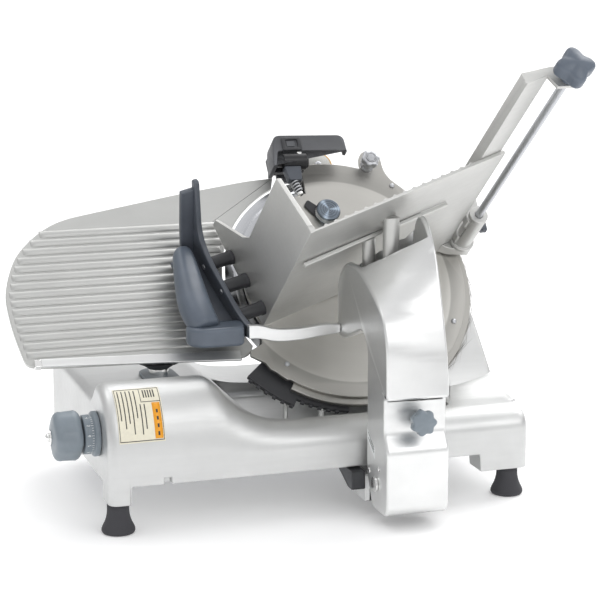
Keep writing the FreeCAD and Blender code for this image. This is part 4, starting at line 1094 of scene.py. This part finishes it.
def sharpener():
    """Sharpening attachment: rounded hood, window, push barrel on its spring, and two stones."""
    shell = prism(rounded(HOOD, [1, 8, 6, 6, 5, 5, 3, 2, 2, 3, 1], 6), 10, 43)
    hood = made("hood", shell, KNIFE_AXES, "hood_plastic", False)
    hollow = prism(rounded(HOOD_HOLLOW, [1, 4, 4, 4, 3, 2, 1], 4), 5, 39.5)
    mouth = prism([(14, 140), (13, 168.6), (40, 167.4), (40, 140)], 25, 60)
    open_rear = prism([(-20, 140), (-20, 200), (40, 200), (40, 140)], 5, 31)
    carved(hood, hollow, mouth, open_rear)
    stands_for(rim_softened(hood, 1.4, 4, 50), "sharpener_housing")
    sharpener_front()
    rear_arm = prism(rounded([(-62, 168), (12, 168), (14, 184), (-46, 190), (-62, 190)], 3, 3), -13.9, -11.2)
    side_wall = prism([(-62, 172), (-50, 172), (-50, 190), (-62, 190)], -13.9, 13)
    front_arm = prism(rounded([(-64, 156), (-22, 156), (-22, 176), (-62, 176)], 3, 3), 10, 16)
    arms = merged(*[softened(mesh, 0.6, 2) for mesh in (rear_arm, side_wall, front_arm)])
    detail("sharpener_arms", arms, KNIFE_AXES, "sharpener", "black_casting")
    centre = KNIFE_AXES @ Matrix.Translation(Vector(STONE) * MM)
    wheel = lathe([(3.1, 0), (16.6, 0), (16.6, 7.5), (3.1, 7.5)], 96)
    stands_for(made("stone_wheel", wheel, centre, "abrasive"), "grinding_stone")
    rim = lathe([(16.62, 0.2), (18.6, 0.2), (19, 0.6), (19, 6.9), (18.6, 7.3), (16.62, 7.3)], 96)
    detail("stone_rim", rim, centre, "grinding_stone", "bronze")
    hub = lathe([(0, 7.4), (4.0, 7.4), (4.4, 8.0), (4.0, 8.8), (2.6, 9.3), (0, 9.5)], 40)
    detail("stone_hub", hub, centre, "grinding_stone", "machine_steel")
    refined("truing_stone", 0.6, 2, "abrasive")


def sharpener_front():
    """Window in the hood, with the push barrel, block and sprung pin under it."""
    window = made("hood_window", prism(rounded([(-55, 172), (-29, 172), (-29, 191), (-55, 191)], 2.5, 4), 41, 45.2),
                  KNIFE_AXES, "black_casting", False)
    carved(window, prism(rounded([(-50, 176), (-34, 176), (-34, 187.5), (-50, 187.5)], 2, 4), 30, 60))
    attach(rim_softened(window, 0.6, 2), "sharpener")
    detail("window_block", box((-49, 177.5, 42), (-37.5, 186, 44.2), 0.8), KNIFE_AXES, "sharpener", "hood_plastic")
    barrel = bar((-56, 162, 33), (-25, 161, 33), 11.5, 48)
    cap = bar((-64, 163, 33), (-55, 162.5, 33), 8.2, 40)
    collar = bar((-26, 161, 33), (-22.5, 161, 33), 9.4, 40)
    detail("sharpener_barrel", merged(barrel, cap, collar), KNIFE_AXES, "sharpener", "barrel_black")
    block = softened(prism(rounded([(-57, 152), (-34, 151), (-36, 130), (-53, 131)], 2, 3), 27, 40), 1.6, 3)
    detail("sharpener_block", block, KNIFE_AXES, "sharpener", "dark_plastic")
    detail("sharpener_spring", spring((-46, 132, 33), (-42, 116, 33), 5.2, 1.0, 4), KNIFE_AXES, "sharpener",
           "machine_steel", False)
    detail("sharpener_pin", bar((-46, 134, 33), (-41.5, 114, 33), 3.4, 24), KNIFE_AXES, "sharpener", "black_casting")
    tip = merged(bar((-41.8, 115, 33), (-41, 111, 33), 4.2, 24), bar((-36, 169, 41), (-31, 167, 43), 2.2, 20))
    detail("sharpener_tip", tip, KNIFE_AXES, "sharpener", "bright_steel")


def spring(start, end, radius, wire, turns):
    """A coil spring between two points."""
    start, end = Vector(start), Vector(end)
    axis = (end - start).normalized()
    side = axis.orthogonal().normalized()
    other = axis.cross(side)
    steps = turns * 20
    rings = []
    for k in range(steps + 1):
        t = k / steps
        angle = 2 * math.pi * turns * t
        outward = side * math.cos(angle) + other * math.sin(angle)
        centre = start.lerp(end, t) + outward * radius
        rings.append([centre + (outward * math.cos(a) + axis * math.sin(a)) * wire
                      for a in (2 * math.pi * m / 8 for m in range(8))])
    return solid(rings)


# ---------------------------------------------------------------- tray and pusher


def tray():
    refined("tray", 0.9, 3, "tray_aluminium", 20)
    refined("guide_rod", 0.5, 2, "machine_steel")
    refined("rod_bracket", 0.8, 2, "tray_aluminium")
    refined("angle_bar", 0.7, 2, "tray_aluminium")


def pusher():
    refined("pusher_sleeve", 1.2, 3, "tray_aluminium")
    refined("pusher_plate", 0.6, 2, "tray_aluminium")
    refined("pusher_lever", 1.0, 3, "dark_plastic")
    place = KNIFE_AXES @ Matrix.Translation(Vector((164.4, 32.5, 426)) * MM)
    head = lobed_knob(24, 7.0, 4, 24, 6.5, 3.0, 128)
    neck = lathe([(5.4, -10.6), (8.4, -10.6), (9, -10), (9, -3), (13, 1.5), (5.4, 1.5)], 48)
    stands_for(made("star_hand_knob", merged(head, neck), place, "grip_plastic"), "star_knob")
    foot = lathe([(12.05, 27), (15.5, 27), (15.5, 31.5), (14.8, 33), (12.05, 33)], 64)
    holes = []
    for n in (42, 84):
        hole = bar((164.4 - 12.2, 32.5, n), (164.4 - 11.6, 32.5, n), 2.6, 24)
        holes.append(hole)
    detail("sleeve_set_screws", merged(*holes), KNIFE_AXES, "pusher", "machine_steel")


# ---------------------------------------------------------------- transport and hidden pieces


def transport():
    refined("transport_block", 0.8, 2, "black_casting")
    wedge = prism(rounded([(-200, -190.8), (-150, -190.8), (-150, -200), (-186, -214), (-200, -214)], 2, 3), -55.5,
                  -38.3, "yz")
    detail("transport_wedge", softened(wedge, 1.0, 2), LEVEL, "carriage", "black_casting")
    cheek = softened(prism(rounded([(-201.3, -229.2), (-166.7, -229.2), (-166.7, -195.6), (-201.3, -195.6)], 2, 3),
                           -38.4, -32.8, "yz"), 0.6, 2)
    detail("transport_cheek", cheek, LEVEL, "carriage", "cast_aluminium")


def plain_pieces():
    """CAD pieces whose shape needs only rounded edges."""
    for node, width in (("bottom_cover", 0.4), ("base_screws", 0.5), ("slide_rod", 0.6), ("guide_track", 0.6),
                        ("motor", 1.5), ("drive_belt", 0.5), ("spindle_bearings", 0.5), ("gauge_rail", 0.5),
                        ("switch_panel", 0.8), ("start_button", 1.0), ("stop_button", 1.0), ("power_inlet", 0.8),
                        ("sharpener_bracket", 0.8), ("transport_bushings", 0.4), ("track_roller", 0.8),
                        ("gauge_carrier", 0.6), ("index_shaft", 0.4), ("index_cam", 0.5), ("knife_spindle", 0.5),
                        ("knife_pulley", 0.6), ("motor_pulley", 0.6), ("pivot_pin", 0.6)):
        refined(node, width)


# ---------------------------------------------------------------- studio


def surroundings():
    """A white studio: brightest overhead, greyer towards the horizon, plain white behind the object."""
    world = bpy.data.worlds.new("studio")
    bpy.context.scene.world = world
    world.use_nodes = True
    tree = world.node_tree
    light = tree.nodes["Background"]
    seen = tree.nodes.new("ShaderNodeBackground")
    seen.inputs["Color"].default_value = (1, 1, 1, 1)
    place = tree.nodes.new("ShaderNodeTexCoord")
    split = tree.nodes.new("ShaderNodeSeparateXYZ")
    height = tree.nodes.new("ShaderNodeValToRGB")
    for element, (spot, level) in zip(height.color_ramp.elements, ((0.0, 0.5), (1.0, 0.92))):
        element.position = spot
        element.color = (level, level, level * 1.01, 1)
    path = tree.nodes.new("ShaderNodeLightPath")
    mix = tree.nodes.new("ShaderNodeMixShader")
    tree.links.new(place.outputs["Generated"], split.inputs[0])
    tree.links.new(split.outputs["Z"], height.inputs[0])
    tree.links.new(height.outputs["Color"], light.inputs["Color"])
    tree.links.new(path.outputs["Is Camera Ray"], mix.inputs[0])
    tree.links.new(light.outputs[0], mix.inputs[1])
    tree.links.new(seen.outputs[0], mix.inputs[2])
    tree.links.new(mix.outputs[0], tree.nodes["World Output"].inputs["Surface"])


def studio():
    """Pale floor, soft lights and the camera."""
    floor = bpy.data.meshes.new("floor")
    floor.from_pydata([(-30, -30, 0), (30, -30, 0), (30, 30, 0), (-30, 30, 0)], [], [(0, 1, 2, 3)])
    ground = bpy.data.objects.new("floor", floor)
    bpy.context.scene.collection.objects.link(ground)
    pale = bpy.data.materials.new("floor_paint")
    pale.use_nodes = True
    shader = pale.node_tree.nodes["Principled BSDF"]
    shader.inputs["Base Color"].default_value = (0.93, 0.93, 0.93, 1)
    shader.inputs["Roughness"].default_value = 0.7
    shader.inputs["Emission Color"].default_value = (1, 1, 1, 1)
    shader.inputs["Emission Strength"].default_value = 0.2
    floor.materials.append(pale)

    aim = KNIFE + Vector((-0.0559, 0, -0.0204))
    surroundings()
    sun = bpy.data.lights.new("key", "SUN")
    sun.energy = 1.5
    sun.angle = math.radians(50)
    lamps = [(sun, Vector((1.5, 1.1, 1.9)))]
    for name, spot, width, height, power in (("front", (0.9, -2.4, 1.5), 2.4, 1.4, 16),
                                             ("top", (-0.9, 0.4, 2.2), 1.6, 1.2, 8)):
        lamp = bpy.data.lights.new(name, "AREA")
        lamp.shape = "RECTANGLE"
        lamp.size, lamp.size_y = width, height
        lamp.energy = power
        lamps.append((lamp, Vector(spot)))
    for lamp, spot in lamps:
        obj = bpy.data.objects.new(lamp.name, lamp)
        bpy.context.scene.collection.objects.link(obj)
        obj.location = aim + spot
        obj.rotation_euler = (-spot).to_track_quat("-Z", "Y").to_euler()

    data = bpy.data.cameras.new("camera")
    data.lens = 120
    data.sensor_width = 36
    camera = bpy.data.objects.new("camera", data)
    bpy.context.scene.collection.objects.link(camera)
    azimuth, elevation = math.radians(-18), math.radians(12)
    back = Vector((math.sin(azimuth) * math.cos(elevation), -math.cos(azimuth) * math.cos(elevation),
                   math.sin(elevation)))
    camera.location = aim + back * 2.55
    camera.rotation_euler = (-back).to_track_quat("-Z", "Y").to_euler()
    bpy.context.scene.camera = camera
    bpy.context.scene.view_settings.view_transform = "Standard"


housing()
pedestal()
foot_meshes()
index_knob()
dial_collar()
data_plate()
arm()
tilt_knob()
handle_rail()
grip()
handle_bar()
gauge_plate()
gauge_support()
knife_and_guard()
knife_cover()
cover_knobs()
deflector()
sharpener()
tray()
pusher()
transport()
plain_pieces()
studio()
